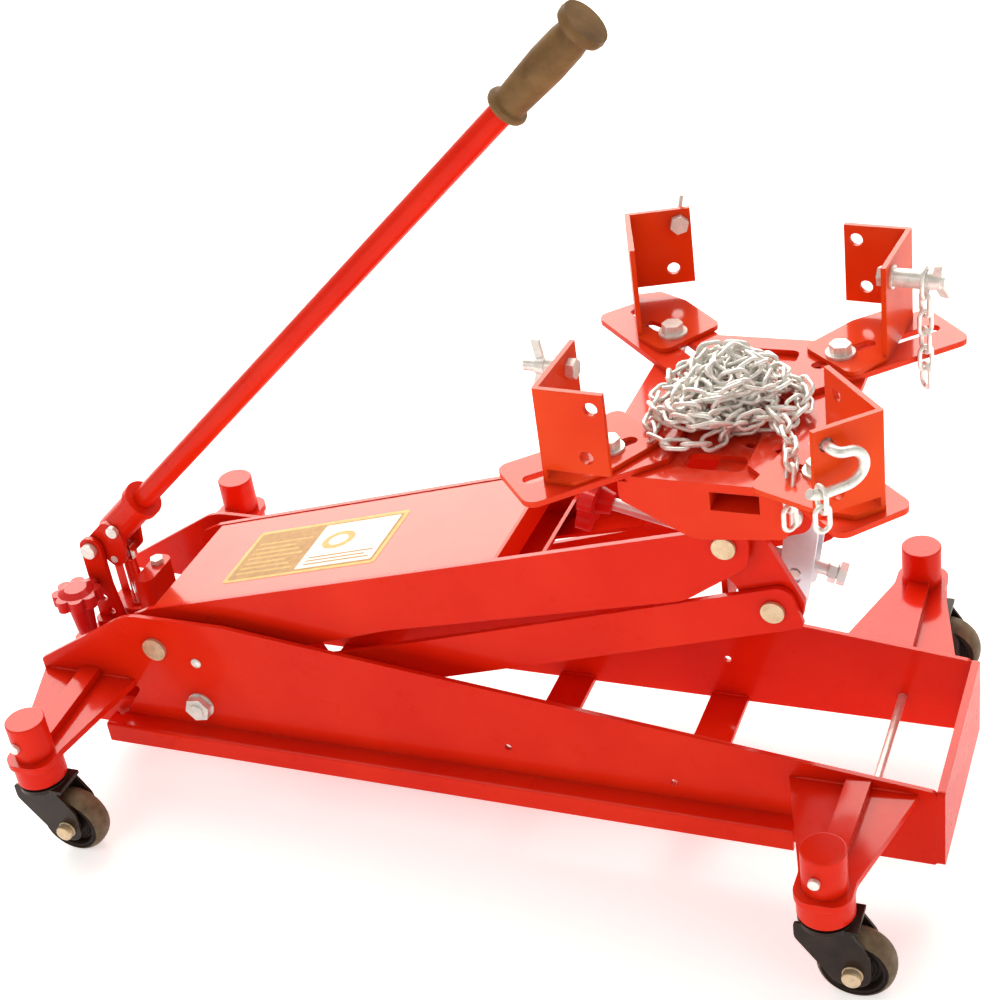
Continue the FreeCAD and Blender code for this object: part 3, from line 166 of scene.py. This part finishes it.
# ---------------------------------------------------------------------------
# materials
# ---------------------------------------------------------------------------
def paint(name, dark, light, coat, rough_low, rough_high, edge_highlights=True):
    """Glossy red enamel; coat is the strength of the clear layer."""
    s = Shader(name)
    colour = s.ramp(s.noise(scale=7.0, detail=3.0, rough=0.5), dark, light, end=0.7)

    # painted shade: the enamel is darkened in corners and creases by their ambient occlusion
    occlusion = s.add("ShaderNodeAmbientOcclusion", {"Distance": 0.018}, samples=4)
    crease_shade = s.math("SUBTRACT", 1.0, occlusion.outputs["AO"], True)
    painted_corner_shade = (dark[0] * 0.45, dark[1] * 0.5, dark[2] * 0.5)
    colour = s.mix(s.math("MULTIPLY", crease_shade, 0.45, True), colour, painted_corner_shade)

    grime = s.excess(s.noise(scale=55.0, detail=6.0, rough=0.7), cut=0.60, gain=0.8)
    colour = s.mix(grime, colour, (0.50, 0.045, 0.018))
    # painted highlight: pale salmon patches along the edges stand in for the light the edges
    # catch
    if edge_highlights:
        colour = s.lighter_edge_patches(colour, edge_colour=(0.62, 0.16, 0.10),
                              threshold=0.05, scale=90.0, cut=0.44, gain=1.6)
    s.roughness(s.noise(scale=40.0, detail=4.0, rough=0.6), rough_low, rough_high)

    # painted highlight: upward faces get a stronger clear coat, so the tops reflect more
    # light; upright ones are duller
    normal = s.add("ShaderNodeNewGeometry").outputs["Normal"]
    up = s.add("ShaderNodeSeparateXYZ", {0: normal}).outputs["Z"]
    upward = s.math("POWER", s.math("MAXIMUM", up, 0.0), 2.0)
    top_sheen = s.math("MULTIPLY", upward, coat * 1.25)
    s.surface({
        "Base Color": colour,
        "IOR": 1.5,
        "Specular IOR Level": 0.05,
        "Coat Weight": s.math("ADD", top_sheen, coat * 0.26),
        "Coat Roughness": 0.10,
        "Coat IOR": 1.5,
    })
    orange_peel = s.noise(scale=420.0, detail=2.0, rough=0.5)
    s.bump(orange_peel, strength=0.06, distance=0.0003, edge_radius=0.0011)
    return s.material


def metal(name, dark, light, rough_low, rough_high,
          scale=60.0, brushed=None, dirt=0.0, relief=0.12, metallic=1.0):
    """Bare or plated metal; brushed is the grain's scale along each axis."""
    s = Shader(name)
    if brushed:
        mapping = s.add("ShaderNodeMapping", {"Scale": brushed, "Vector": s.coord})
        grain = s.noise(scale=1.0, detail=5.0, rough=0.6, coord=mapping.outputs[0])
    else:
        grain = s.noise(scale=scale * 6, detail=5.0, rough=0.6)
    colour = s.ramp(s.noise(scale=scale, detail=4.0, rough=0.6), dark, light, end=0.72)
    if dirt > 0:
        spots = s.noise(scale=scale * 2.2, detail=6.0, rough=0.7)
        colour = s.mix(s.excess(spots, cut=0.52, gain=dirt * 6), colour, (0.16, 0.11, 0.07))
    s.surface({"Base Color": colour, "Metallic": metallic})
    s.roughness(grain, rough_low, rough_high)
    s.bump(grain, strength=relief, distance=0.0003, edge_radius=0.0006)
    return s.material


def dark_paint(name, dark, light, rough_low, rough_high, coat):
    """Dark matt finish with dull grey-brown patches along the edges."""
    s = Shader(name)
    colour = s.ramp(s.noise(scale=30.0, detail=5.0, rough=0.6), dark, light)
    colour = s.lighter_edge_patches(colour, edge_colour=(0.22, 0.20, 0.17),
                          threshold=0.06, scale=120.0, cut=0.40, gain=2.5)
    s.surface({"Base Color": colour, "Specular IOR Level": 0.14, "Coat Weight": coat})
    s.roughness(s.noise(scale=70.0, detail=4.0, rough=0.6), rough_low, rough_high)
    s.bump(s.noise(scale=300.0, detail=3.0, rough=0.5),
           strength=0.12, distance=0.0004, edge_radius=0.0010)
    return s.material


def wheel_material(name, centre):
    """Dark moulded centre and tan tread, told apart by the distance from the axle."""
    tread_radius = 0.0322
    raggedness = 0.0012  # how far the noise shifts the border between the two
    s = Shader(name)
    place = s.add("ShaderNodeSeparateXYZ", {0: s.coord})
    dx = s.math("SUBTRACT", place.outputs["X"], centre.x)
    dz = s.math("SUBTRACT", place.outputs["Z"], centre.z)
    squares = s.math("ADD", s.math("MULTIPLY", dx, dx), s.math("MULTIPLY", dz, dz))
    radius = s.math("SQRT", squares)
    mottle = s.noise(scale=55.0, detail=5.0, rough=0.65)
    shift = s.math("MULTIPLY", s.math("SUBTRACT", mottle, 0.5), raggedness)
    is_tread = s.math("GREATER_THAN", s.math("ADD", radius, shift), tread_radius)
    moulding = s.ramp(mottle, (0.010, 0.005, 0.004), (0.030, 0.016, 0.011))
    tread = s.ramp(mottle, (0.095, 0.062, 0.034), (0.230, 0.165, 0.100))
    s.surface({"Base Color": s.mix(is_tread, moulding, tread), "Specular IOR Level": 0.14})
    s.roughness(s.noise(scale=90.0, detail=4.0, rough=0.6), 0.38, 0.62)
    s.bump(s.noise(scale=260.0, detail=4.0, rough=0.6),
           strength=0.2, distance=0.0004, edge_radius=0.0010)
    return s.material


def film(name, dark, light):
    """Printed film of the data plate."""
    s = Shader(name)
    mottle = s.noise(scale=120.0, detail=5.0, rough=0.6)
    s.surface({
        "Base Color": s.ramp(mottle, dark, light, end=0.7),
        "Specular IOR Level": 0.12,
        "Coat Weight": 0.08,
    })
    s.roughness(s.noise(scale=60.0, detail=4.0, rough=0.6), 0.25, 0.45)
    s.bump(s.noise(scale=500.0, detail=3.0, rough=0.5), strength=0.05, distance=0.0002)
    return s.material


RED = paint("red_enamel", dark=(0.70, 0.011, 0.002), light=(0.80, 0.024, 0.004),
            coat=0.5, rough_low=0.22, rough_high=0.36)
# painted highlight: a lighter copy of the red enamel for the pieces whose tops face the light
RED_LIT_TOP = paint("red_enamel_lit_top", dark=(0.74, 0.022, 0.004), light=(0.84, 0.048, 0.008),
                coat=0.60, rough_low=0.24, rough_high=0.4)
# painted highlight: a lighter, more orange copy of the red enamel for the brackets, for the
# light falling on them
RED_LIT_BRACKET = paint("red_enamel_lit_bracket", dark=(0.76, 0.038, 0.004), light=(0.86, 0.070, 0.008),
                coat=0.5, rough_low=0.24, rough_high=0.38)
RED_KNOB = paint("red_moulding", dark=(0.62, 0.012, 0.012), light=(0.74, 0.028, 0.024),
                 coat=0.6, rough_low=0.3, rough_high=0.45, edge_highlights=False)
ZINC = metal("zinc_plate", dark=(0.72, 0.70, 0.65), light=(0.92, 0.90, 0.86),
             rough_low=0.30, rough_high=0.48, dirt=0.25, metallic=0.55)
CHAIN_ZINC = metal("chain_zinc", dark=(0.80, 0.79, 0.74), light=(0.96, 0.95, 0.91),
                   rough_low=0.30, rough_high=0.48,
                   scale=90.0, dirt=0.25, relief=0.2, metallic=0.6)
YELLOW_ZINC = metal("yellow_zinc", dark=(0.58, 0.42, 0.24), light=(0.80, 0.64, 0.44),
                    rough_low=0.32, rough_high=0.50, dirt=0.3, metallic=0.6)
STRAP = metal("bright_strap", dark=(0.72, 0.79, 0.88), light=(0.84, 0.90, 0.97),
              rough_low=0.30, rough_high=0.42,
              scale=25.0, dirt=0.06, relief=0.05, metallic=0.45)
ROD = metal("bright_rod", dark=(0.80, 0.79, 0.80), light=(0.95, 0.94, 0.94),
            rough_low=0.26, rough_high=0.40,
            scale=35.0, dirt=0.12, relief=0.05, metallic=0.5)
CHROME = metal("hard_chrome", dark=(0.80, 0.80, 0.82), light=(0.90, 0.90, 0.92),
               rough_low=0.05, rough_high=0.12, brushed=(900, 900, 40), relief=0.04)
FORK = dark_paint("black_fork_paint", dark=(0.012, 0.006, 0.004), light=(0.040, 0.021, 0.014),
                  rough_low=0.26, rough_high=0.46, coat=0.12)
GRIP = dark_paint("grip_rubber", dark=(0.130, 0.066, 0.024), light=(0.260, 0.145, 0.055),
                  rough_low=0.42, rough_high=0.66, coat=0.02)

# ---------------------------------------------------------------------------
# materials of the CAD pieces
# ---------------------------------------------------------------------------
WHEEL_PREFIX = "caster_wheel_"

# start of the piece's name, material
PREFIX_MATERIALS = (("caster_fork", FORK), ("hardware", ZINC), ("ear_", RED_LIT_BRACKET))

# material, names of its pieces; every other piece is RED
PIECE_MATERIALS = (
    (ZINC, ("boss_screws", "lever_pivot_pin", "lever_hardware", "tilt_nut", "tilt_pivot_pin",
            "filler_plug", "oil_line", "front_tie_rod", "link_pivot_bolts")),
    (YELLOW_ZINC, ("arm_pivot_pin", "front_pins")),
    (RED_KNOB, ("release_knob", "tilt_knob")),
    (CHAIN_ZINC, ("chain_tail", "chain_hook", "chain_pile")),
    (STRAP, ("tilt_straps",)),
    (ROD, ("tilt_screw",)),
    (CHROME, ("ram_rod", "pump_plunger")),
    (GRIP, ("handle_grip",)),
    (RED_LIT_TOP, ("lift_arm_cover", "saddle_arms", "saddle_table")),
)


def box_centre(name):
    low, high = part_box(name)
    return (low + high) / 2


def piece_material(name):
    if name.startswith(WHEEL_PREFIX):
        return wheel_material("wheel_" + name.removeprefix(WHEEL_PREFIX), box_centre(name))
    for prefix, material in PREFIX_MATERIALS:
        if name.startswith(prefix):
            return material
    for material, names in PIECE_MATERIALS:
        if name in names:
            return material
    return RED


def assign(piece, material):
    if not piece.data.materials:
        piece.data.materials.append(material)
    for slot in piece.material_slots:
        slot.link = "OBJECT"
        slot.material = material


for name in nodes:
    assign(nodes[name], piece_material(name))


# ---------------------------------------------------------------------------
# mesh helpers
# ---------------------------------------------------------------------------
def make_object(name, bm, material, body, smooth=True):
    mesh = bpy.data.meshes.new(name)
    bmesh.ops.recalc_face_normals(bm, faces=bm.faces)
    bm.to_mesh(mesh)
    bm.free()
    if smooth:
        for face in mesh.polygons:
            face.use_smooth = True
    made = bpy.data.objects.new(name, mesh)
    bpy.context.scene.collection.objects.link(made)
    mesh.materials.append(material)
    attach(made, body)
    return made


def bridge(bm, first, second):
    """Quads between two rings of vertices."""
    count = len(first)
    for k in range(count):
        after = (k + 1) % count
        bm.faces.new((first[k], first[after], second[after], second[k]))


def sweep(bm, points, radius, sides=8, closed=False, across=None, scale=None):
    """Round tube along points; scale gives a radius factor per point."""
    count = len(points)
    rings = []
    for i, point in enumerate(points):
        before = points[(i - 1) % count] if (closed or i > 0) else point
        after = points[(i + 1) % count] if (closed or i < count - 1) else point
        along = (after - before).normalized()
        if across is None:
            across = along.orthogonal()
        across = (across - along * across.dot(along)).normalized()
        third = along.cross(across)
        r = radius * (scale[i] if scale else 1.0)
        ring = []
        for k in range(sides):
            angle = 2 * math.pi * k / sides
            offset = across * math.cos(angle) + third * math.sin(angle)
            ring.append(bm.verts.new(point + offset * r))
        rings.append(ring)
    for i in range(count if closed else count - 1):
        bridge(bm, rings[i], rings[(i + 1) % count])
    if not closed:
        bm.faces.new(rings[0][::-1])
        bm.faces.new(rings[-1])


def lathe(name, profile, centre, material, body, segments):
    """Turn a closed (radius, y) profile about the Y axis through centre."""
    bm = bmesh.new()
    rings = []
    for radius, y in profile:
        ring = []
        for k in range(segments):
            angle = 2 * math.pi * k / segments
            ring.append(bm.verts.new((centre.x + radius * math.cos(angle), centre.y + y,
                                      centre.z + radius * math.sin(angle))))
        rings.append(ring)
    for i, ring in enumerate(rings):
        bridge(bm, ring, rings[(i + 1) % len(rings)])
    made = make_object(name, bm, material, body)
    made.data.set_sharp_from_angle(angle=math.radians(38))
    return made


# ---------------------------------------------------------------------------
# chain, in metres
# ---------------------------------------------------------------------------
def link(bm, centre, along, across, length=0.029, width=0.0175, wire=0.0044, segments=7):
    """One oval link, lying in the plane of along and across."""
    along = along.normalized()
    across = (across - along * across.dot(along)).normalized()
    straight = (length - width) / 2
    radius = (width - wire) / 2
    points = []
    for end in (1, -1):
        for k in range(segments + 1):
            angle = math.pi * k / segments - math.pi / 2
            points.append(centre + along * (end * (straight + radius * math.cos(angle)))
                          + across * (end * radius * math.sin(angle)))
    sweep(bm, points, wire / 2, closed=True, across=along.cross(across))


def chain(bm, path, pitch, jitter, roll=0.0, **link_sizes):
    """Links along a path, each turned a quarter from the last, give or take the jitter."""
    travelled = [0.0]
    for i in range(1, len(path)):
        travelled.append(travelled[-1] + (path[i] - path[i - 1]).length)

    def at(distance):
        distance = min(max(distance, 0.0), travelled[-1])
        j = 1
        while j < len(travelled) - 1 and travelled[j] < distance:
            j += 1
        gap = max(1e-9, travelled[j] - travelled[j - 1])
        return path[j - 1].lerp(path[j], (distance - travelled[j - 1]) / gap)

    middle = pitch / 2
    number = 0
    while middle + pitch / 2 < travelled[-1]:
        start = at(middle - pitch / 2)
        end = at(middle + pitch / 2)
        along = (end - start).normalized()
        up = Vector((0, 0, 1)) if abs(along.z) < 0.85 else Vector((1, 0, 0))
        side = along.cross(up).normalized()
        up = side.cross(along)
        quarter = math.pi / 2 if number % 2 else 0.0
        angle = roll + quarter + math.pi / 4 + (rng.random() - 0.5) * 2 * jitter
        across = side * math.cos(angle) + up * math.sin(angle)
        link(bm, (start + end) / 2, along, across, **link_sizes)
        middle += pitch
        number += 1


SADDLE_X = 310.0
PLATE_TOP = 482.0
ARM_RISE = 6.0  # arms' inner ends above the plate
HEAP_X, HEAP_Y = 306.0, -12.0
HEAP_STEPS = 300

# per layer, in mm and radians: x radius, y radius, height, lobes, phase, turns
HEAP_LAYERS = (
    (72, 80, 8.0, 2.0, 0.3, 2.4),
    (68, 74, 15.0, 3.0, 1.4, 2.4),
    (60, 68, 23.0, 2.5, 2.6, 2.2),
    (52, 58, 31.0, 2.0, 0.8, 2.0),
    (42, 46, 38.5, 1.5, 2.0, 1.6),
    (28, 32, 45.5, 1.2, 3.1, 1.2),
)
# swellings and a dent at set bearings: amount, bearing, spread
HEAP_BULGES = ((0.22, 4.1, 0.45), (-0.16, 5.3, 0.5), (0.10, 2.2, 0.4))

# x, y, z in mm, from the heap to below the saddle's near edge
STRAND_POINTS = (
    (352, -44, 506), (368, -66, 507), (381, -92, 506), (388, -116, 504),
    (390.5, -133, 499), (391, -141, 484), (391, -143, 466), (391, -143.5, 447),
)


def seat(x):
    """Height the chain rests at: the plate in the middle, the arms' inner ends beside it."""
    return PLATE_TOP + ARM_RISE * max(0.0, min(1.0, (abs(x - SADDLE_X) - 8.0) / 16.0))


def heap_path(layer, radius_x, radius_y, height, lobes, phase, turns):
    path = []
    for i in range(HEAP_STEPS):
        angle = 2 * math.pi * turns * i / HEAP_STEPS
        bearing = (angle + phase) % (2 * math.pi)
        reach = 0.64 + 0.36 * math.cos(lobes * angle * 0.77 + phase)
        for amount, peak, spread in HEAP_BULGES:
            reach += amount * math.exp(-((bearing - peak) / spread) ** 2)
        x = HEAP_X + radius_x * reach * math.cos(angle + phase)
        y = HEAP_Y + radius_y * reach * math.sin(angle + phase)
        wobble = 3.2 * math.sin(3.1 * angle + layer) + 2.0 * math.sin(7.3 * angle + 2 * layer)
        if layer == 0:
            wobble = max(0.0, wobble * 0.5)
        base = seat(x) if layer < 2 else PLATE_TOP + 4.0
        path.append(mm(x, y, base + height + wobble))
    return path


def chain_heap():
    bm = bmesh.new()
    for layer, row in enumerate(HEAP_LAYERS):
        phase = row[4]
        chain(bm, heap_path(layer, *row), pitch=0.0186, jitter=0.6, roll=phase,
              length=0.030, width=0.0180, wire=0.0042)
    heap = make_object("chain_heap", bm, CHAIN_ZINC, "table")
    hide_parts("chain_pile")


def smooth_path(points, steps=10):
    """Catmull-Rom curve through the points."""
    curve = []
    for i in range(len(points) - 1):
        p0, p1 = points[max(0, i - 1)], points[i]
        p2, p3 = points[i + 1], points[min(len(points) - 1, i + 2)]
        for k in range(steps):
            t = k / steps
            curve.append(0.5 * ((2 * p1) + (p2 - p0) * t
                                + (2 * p0 - 5 * p1 + 4 * p2 - p3) * t * t
                                + (3 * p1 - p0 - 3 * p2 + p3) * t ** 3))
    curve.append(points[-1])
    return curve


def chain_strand():
    bm = bmesh.new()
    path = smooth_path([mm(*point) for point in STRAND_POINTS])
    chain(bm, path, pitch=0.0188, jitter=0.15)
    make_object("chain_strand", bm, CHAIN_ZINC, "table")


# ---------------------------------------------------------------------------
# weld beads
# ---------------------------------------------------------------------------
def welds(name, seams, body, radius):
    """Rippled beads along straight seams, tapered at both ends."""
    ripple_step = 0.0016
    bm = bmesh.new()
    for start, end in seams:
        steps = max(6, int((end - start).length / ripple_step))
        points = []
        scale = []
        for i in range(steps + 1):
            f = i / steps
            taper = min(1.0, 6 * f + 0.35, 6 * (1 - f) + 0.35)
            ripple = 1.0 + 0.16 * math.sin(i * 1.9) + 0.08 * (rng.random() - 0.5)
            points.append(start.lerp(end, f))
            scale.append(taper * ripple)
        sweep(bm, points, radius, scale=scale)
    make_object(name, bm, RED, body)


def base_welds():
    seams = []
    for side in (-1, 1):
        # along the tops at both ends of the base
        for x0, x1 in ((372, 487), (-500, -392)):
            seams.append((mm(x0, side * 106.4, 128.3), mm(x1, side * 106.4, 128.3)))
        # upright at the +X end
        seams.append((mm(509.4, side * 101.5, 44), mm(509.4, side * 101.5, 128)))
        # short seams low on the sides
        for x0, x1 in ((45, 87), (225, 267)):
            seams.append((mm(x0 + 2, side * 100.6, 46.3), mm(x1 - 2, side * 100.6, 46.3)))
    welds("welds_base", seams, "base", radius=0.0022)


def saddle_welds():
    seams = []
    for end, upright_x in ((-1, 314), (1, 365)):
        x = SADDLE_X + end * 36.3
        z = PLATE_TOP + 0.4
        seams.append((mm(x, -92, z), mm(x, 92, z)))
        for side in (-1, 1):
            seams.append((mm(upright_x, side * 131.5, 452), mm(upright_x, side * 131.5, 475)))
    welds("welds_saddle", seams, "table", radius=0.0018)


# ---------------------------------------------------------------------------
# turned pieces, in metres
# ---------------------------------------------------------------------------
CROWN_DEPTH = 0.0068
CROWN_STEPS = 12

# domed plug: radius, distance from the middle plane
PLUG_PROFILE = (
    (0.0003, 0.1055), (0.0038, 0.1055), (0.0038, 0.1062), (0.0062, 0.1062),
    (0.0060, 0.1072), (0.0046, 0.1082), (0.0024, 0.1088), (0.0003, 0.1090),
)


def tyre(corner, name):
    """Wheel with a dished side and a crowned tread, in place of the CAD wheel."""
    low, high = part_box(name)
    centre = (low + high) / 2
    half = (high.y - low.y) / 2 - 0.001  # half width, less the hub's stand-out
    outer = (high.x - low.x) / 2
    # radius, y: from the bore to the tread on the near side
    near = [
        (0.0061, -half - 0.001), (0.0115, -half - 0.001), (0.0125, -half),
        (0.0130, -0.0065), (0.0175, -0.0058), (0.0185, -0.0072), (0.0205, -0.0072),
        (0.0215, -0.0058), (0.0245, -0.0062), (0.0262, -half + 0.0022),
        (0.0272, -half + 0.0008), (0.0296, -half + 0.0004), (0.0302, -half + 0.0011),
        (0.0308, -half),
    ]
    crown = []
    for k in range(CROWN_STEPS + 1):
        angle = math.pi * k / CROWN_STEPS
        radius = outer - CROWN_DEPTH + CROWN_DEPTH * math.sin(angle)
        crown.append((radius, -half * math.cos(angle)))
    far = [(radius, -y) for radius, y in reversed(near)]
    material = wheel_material("tyre_" + corner, centre)
    made = lathe("tyre_" + corner, near + crown + far, centre, material,
                 "wheel_" + corner, segments=72)
    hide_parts(name)
    return centre


def axle_caps(corner, centre):
    """A cap on the outside of each fork cheek."""
    low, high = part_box("caster_fork_" + corner)
    for sign, side in SIDES:
        face = high.y - centre.y if sign > 0 else centre.y - low.y
        # radius, distance from the wheel's middle
        profile = (
            (0.0004, 0.0190), (0.0100, 0.0190), (0.0100, 0.0202), (0.0092, 0.0206),
            (0.0092, face - 0.0004), (0.0086, face + 0.0007), (0.0060, face + 0.0014),
            (0.0004, face + 0.0017),
        )
        lathe(f"axle_cap_{corner}_{side}", [(r, sign * y) for r, y in profile], centre,
              YELLOW_ZINC, "fork_" + corner, segments=40)


def casters():
    for name in list(nodes):
        if name.startswith(WHEEL_PREFIX):
            corner = name.removeprefix(WHEEL_PREFIX)
            axle_caps(corner, tyre(corner, name))


def plate_plugs():
    """Domed plugs in the side plates."""
    for sign, side in SIDES:
        lathe(f"plate_plug_{side}", [(r, sign * y) for r, y in PLUG_PROFILE],
              mm(-297, 0, 165), ZINC, "base", segments=36)


# ---------------------------------------------------------------------------
# thread on the tilt screw, between the nut and the stop nuts
# ---------------------------------------------------------------------------
SCREW_RUN, SCREW_DROP = 248.0, 60.8  # mm along +X, mm down


def screw_point(x):
    """Point on the screw's axis."""
    return mm(x, 0, 363.4 - (x - 150) * SCREW_DROP / SCREW_RUN)


def screw_thread():
    pitch = 0.0024
    steps_per_turn = 18
    along = Vector((SCREW_RUN, 0, -SCREW_DROP)).normalized()
    across = Vector((0, 1, 0))
    third = along.cross(across)
    start, end = screw_point(386.5), screw_point(396.5)
    points = []
    for i in range(int((end - start).length / pitch * steps_per_turn) + 1):
        angle = 2 * math.pi * i / steps_per_turn
        offset = (across * math.cos(angle) + third * math.sin(angle)) * 0.0066
        points.append(start + along * (pitch * i / steps_per_turn) + offset)
    bm = bmesh.new()
    sweep(bm, points, 0.0007, sides=5, across=along)
    make_object("tilt_screw_thread", bm, ZINC, "screw")


# ---------------------------------------------------------------------------
# plain data plate on the lift arm cover, in mm
# ---------------------------------------------------------------------------
COVER_SLOPE = 0.277
LABEL_X0, LABEL_X1 = -276.0, -80.0
LABEL_Y0, LABEL_Y1 = -54.0, 47.0


def cover_point(x, y, height):
    """Point at a height above the cover's top face."""
    normal = Vector((-COVER_SLOPE, 0, 1)).normalized()
    return mm(x, y, 215.0 + COVER_SLOPE * (x + 359)) + normal * (height / 1000.0)


def sheet(name, outline, bottom, top, material):
    """Thin layer between two heights above the cover."""
    bm = bmesh.new()
    low = [bm.verts.new(cover_point(x, y, bottom)) for x, y in outline]
    high = [bm.verts.new(cover_point(x, y, top)) for x, y in outline]
    bm.faces.new(low[::-1])
    bm.faces.new(high)
    bridge(bm, low, high)
    make_object(name, bm, material, "arm", smooth=False)


def rounded_rectangle(x0, x1, y0, y1, radius, steps=5):
    points = []
    corners = ((x1 - radius, y1 - radius, 0), (x0 + radius, y1 - radius, 90),
               (x0 + radius, y0 + radius, 180), (x1 - radius, y0 + radius, 270))
    for x, y, first in corners:
        for k in range(steps + 1):
            angle = math.radians(first + 90 * k / steps)
            points.append((x + radius * math.cos(angle), y + radius * math.sin(angle)))
    return points


def inset_label(left, right, edge, radius):
    """The plate's outline, drawn in at the -X end, the +X end and both sides."""
    return rounded_rectangle(LABEL_X0 + left, LABEL_X1 - right,
                             LABEL_Y0 + edge, LABEL_Y1 - edge, radius)


def emblem(radius_x, radius_y):
    x = LABEL_X0 + 124
    y = (LABEL_Y0 + LABEL_Y1) / 2 + 8
    angles = [k * math.pi / 16 for k in range(32)]
    return [(x + radius_x * math.cos(a), y + radius_y * math.sin(a)) for a in angles]


def data_plate():
    gold = film("label_gold", (0.80, 0.46, 0.12), (0.92, 0.60, 0.20))
    brown = film("label_brown", (0.42, 0.21, 0.045), (0.56, 0.31, 0.085))
    cream = film("label_cream", (0.84, 0.82, 0.74), (0.92, 0.91, 0.86))
    amber = film("label_amber", (0.66, 0.38, 0.10), (0.80, 0.52, 0.17))
    # name, outline, bottom, top, material
    sheet("label_frame", inset_label(0, 0, 0, 5), 0.02, 0.30, gold)
    sheet("label_back", inset_label(5, 5, 5, 3), 0.30, 0.42, brown)
    sheet("label_light", inset_label(92, 8, 8, 2), 0.42, 0.54, cream)
    sheet("label_disc", emblem(20, 17), 0.54, 0.66, amber)
    sheet("label_disc_in", emblem(12, 10), 0.66, 0.74, cream)
    for k in range(3):
        y = LABEL_Y0 + 14 + k * 6.5
        x1 = LABEL_X1 - 14 - 8 * (k % 2)
        bar = rounded_rectangle(LABEL_X0 + 100, x1, y, y + 2.4, 1.0)
        sheet(f"label_bar_{k}", bar, 0.54, 0.62, brown)
    for k in range(7):
        y = LABEL_Y0 + 14 + k * 9.6
        x1 = LABEL_X0 + 84 - 9 * (k % 3)
        line = rounded_rectangle(LABEL_X0 + 12, x1, y, y + 3.0, 1.2)
        sheet(f"label_line_{k}", line, 0.42, 0.50, amber)


chain_heap()
chain_strand()
base_welds()
saddle_welds()
casters()
plate_plugs()
screw_thread()
data_plate()

# ---------------------------------------------------------------------------
# stage: floor, world, lights, camera
# ---------------------------------------------------------------------------
scene = bpy.context.scene

AZIMUTH, ELEVATION, ROLL = (math.radians(a) for a in (25.77, 32.2, -8.83))
# from the object towards the camera
TO_CAMERA = Vector((math.sin(AZIMUTH) * math.cos(ELEVATION),
                    -math.cos(AZIMUTH) * math.cos(ELEVATION), math.sin(ELEVATION)))


def studio_floor():
    half = 9
    bm = bmesh.new()
    for x, y in ((-half, -half), (half, -half), (half, half), (-half, half)):
        bm.verts.new((x, y, -0.0002))
    bm.faces.new(bm.verts)
    mesh = bpy.data.meshes.new("studio_floor")
    bm.to_mesh(mesh)
    bm.free()
    floor = bpy.data.objects.new("studio_floor", mesh)
    scene.collection.objects.link(floor)

    s = Shader("studio_floor")
    shade = s.noise(scale=1.5, detail=3.0)
    s.surface({
        "Base Color": s.ramp(shade, (0.93, 0.93, 0.93), (0.97, 0.97, 0.97), 0.2, 0.8),
        "Specular IOR Level": 0.1,
        "Emission Color": (1.0, 1.0, 1.0),
        "Emission Strength": 0.50,
    })
    s.roughness(s.noise(scale=30.0, coord=s.object_coord()), 0.75, 0.9)
    mesh.materials.append(s.material)


def studio_world():
    """White to the camera; for lighting, a dim room with a soft window behind the object."""
    dim, window = 0.40, 4.2  # brightness of the room and of the window
    world = bpy.data.worlds.new("studio")
    scene.world = world
    world.use_nodes = True
    tree = world.node_tree
    background = tree.nodes["Background"]
    window_way = Vector((-TO_CAMERA.x, -TO_CAMERA.y, TO_CAMERA.z + 0.10)).normalized()
    coord = add_node(tree, "ShaderNodeTexCoord")
    facing = add_node(tree, "ShaderNodeVectorMath", {
        0: coord.outputs["Generated"], 1: window_way}, operation="DOT_PRODUCT")
    glow = add_node(tree, "ShaderNodeMapRange", {
        "Value": facing.outputs["Value"], "From Min": 0.70, "From Max": 0.93,
        "To Min": dim, "To Max": window}, interpolation_type="SMOOTHSTEP")
    seen = add_node(tree, "ShaderNodeLightPath").outputs["Is Camera Ray"]
    strength = add_node(tree, "ShaderNodeMix", {0: seen, 2: glow.outputs[0], 3: 1.0})
    colour = add_node(tree, "ShaderNodeMix", {
        0: seen, 6: (1.0, 0.955, 0.875), 7: (1.0, 1.0, 1.0)}, data_type="RGBA")
    feed(tree, background.inputs[0], colour.outputs[2])
    feed(tree, background.inputs[1], strength.outputs[0])


def area_light(name, place, target, size, power):
    light = bpy.data.lights.new(name, "AREA")
    light.shape = "RECTANGLE"
    light.size, light.size_y = size
    light.energy = power
    light.color = (1, 1, 1)
    lamp = bpy.data.objects.new(name, light)
    lamp.location = place
    aim = Vector(target) - Vector(place)
    lamp.rotation_euler = aim.to_track_quat("-Z", "Y").to_euler()
    scene.collection.objects.link(lamp)


def studio_camera():
    place = mm(747.29, -1452.07, 1364.02)
    level_right = (-TO_CAMERA).cross(Vector((0, 0, 1))).normalized()
    level_up = level_right.cross(-TO_CAMERA)
    right = level_right * math.cos(ROLL) + level_up * math.sin(ROLL)
    up = level_right * -math.sin(ROLL) + level_up * math.cos(ROLL)
    data = bpy.data.cameras.new("camera")
    data.sensor_width = 36.0
    data.lens = 66.93
    camera = bpy.data.objects.new("camera", data)
    rows = [tuple(row) for row in zip(right, up, TO_CAMERA, place)]
    camera.matrix_world = Matrix((*rows, (0, 0, 0, 1)))
    scene.collection.objects.link(camera)
    scene.camera = camera


studio_floor()
studio_world()
scene.view_settings.view_transform = "Standard"
scene.view_settings.look = "None"
area_light("key", place=(-0.9, -2.0, 1.9), target=(0, 0, 0.25), size=(1.6, 1.2), power=11)
area_light("fill", place=(2.2, -0.9, 1.3), target=(0.1, 0, 0.3), size=(1.4, 1.4), power=6)
studio_camera()


bpy.context.view_layer.update()
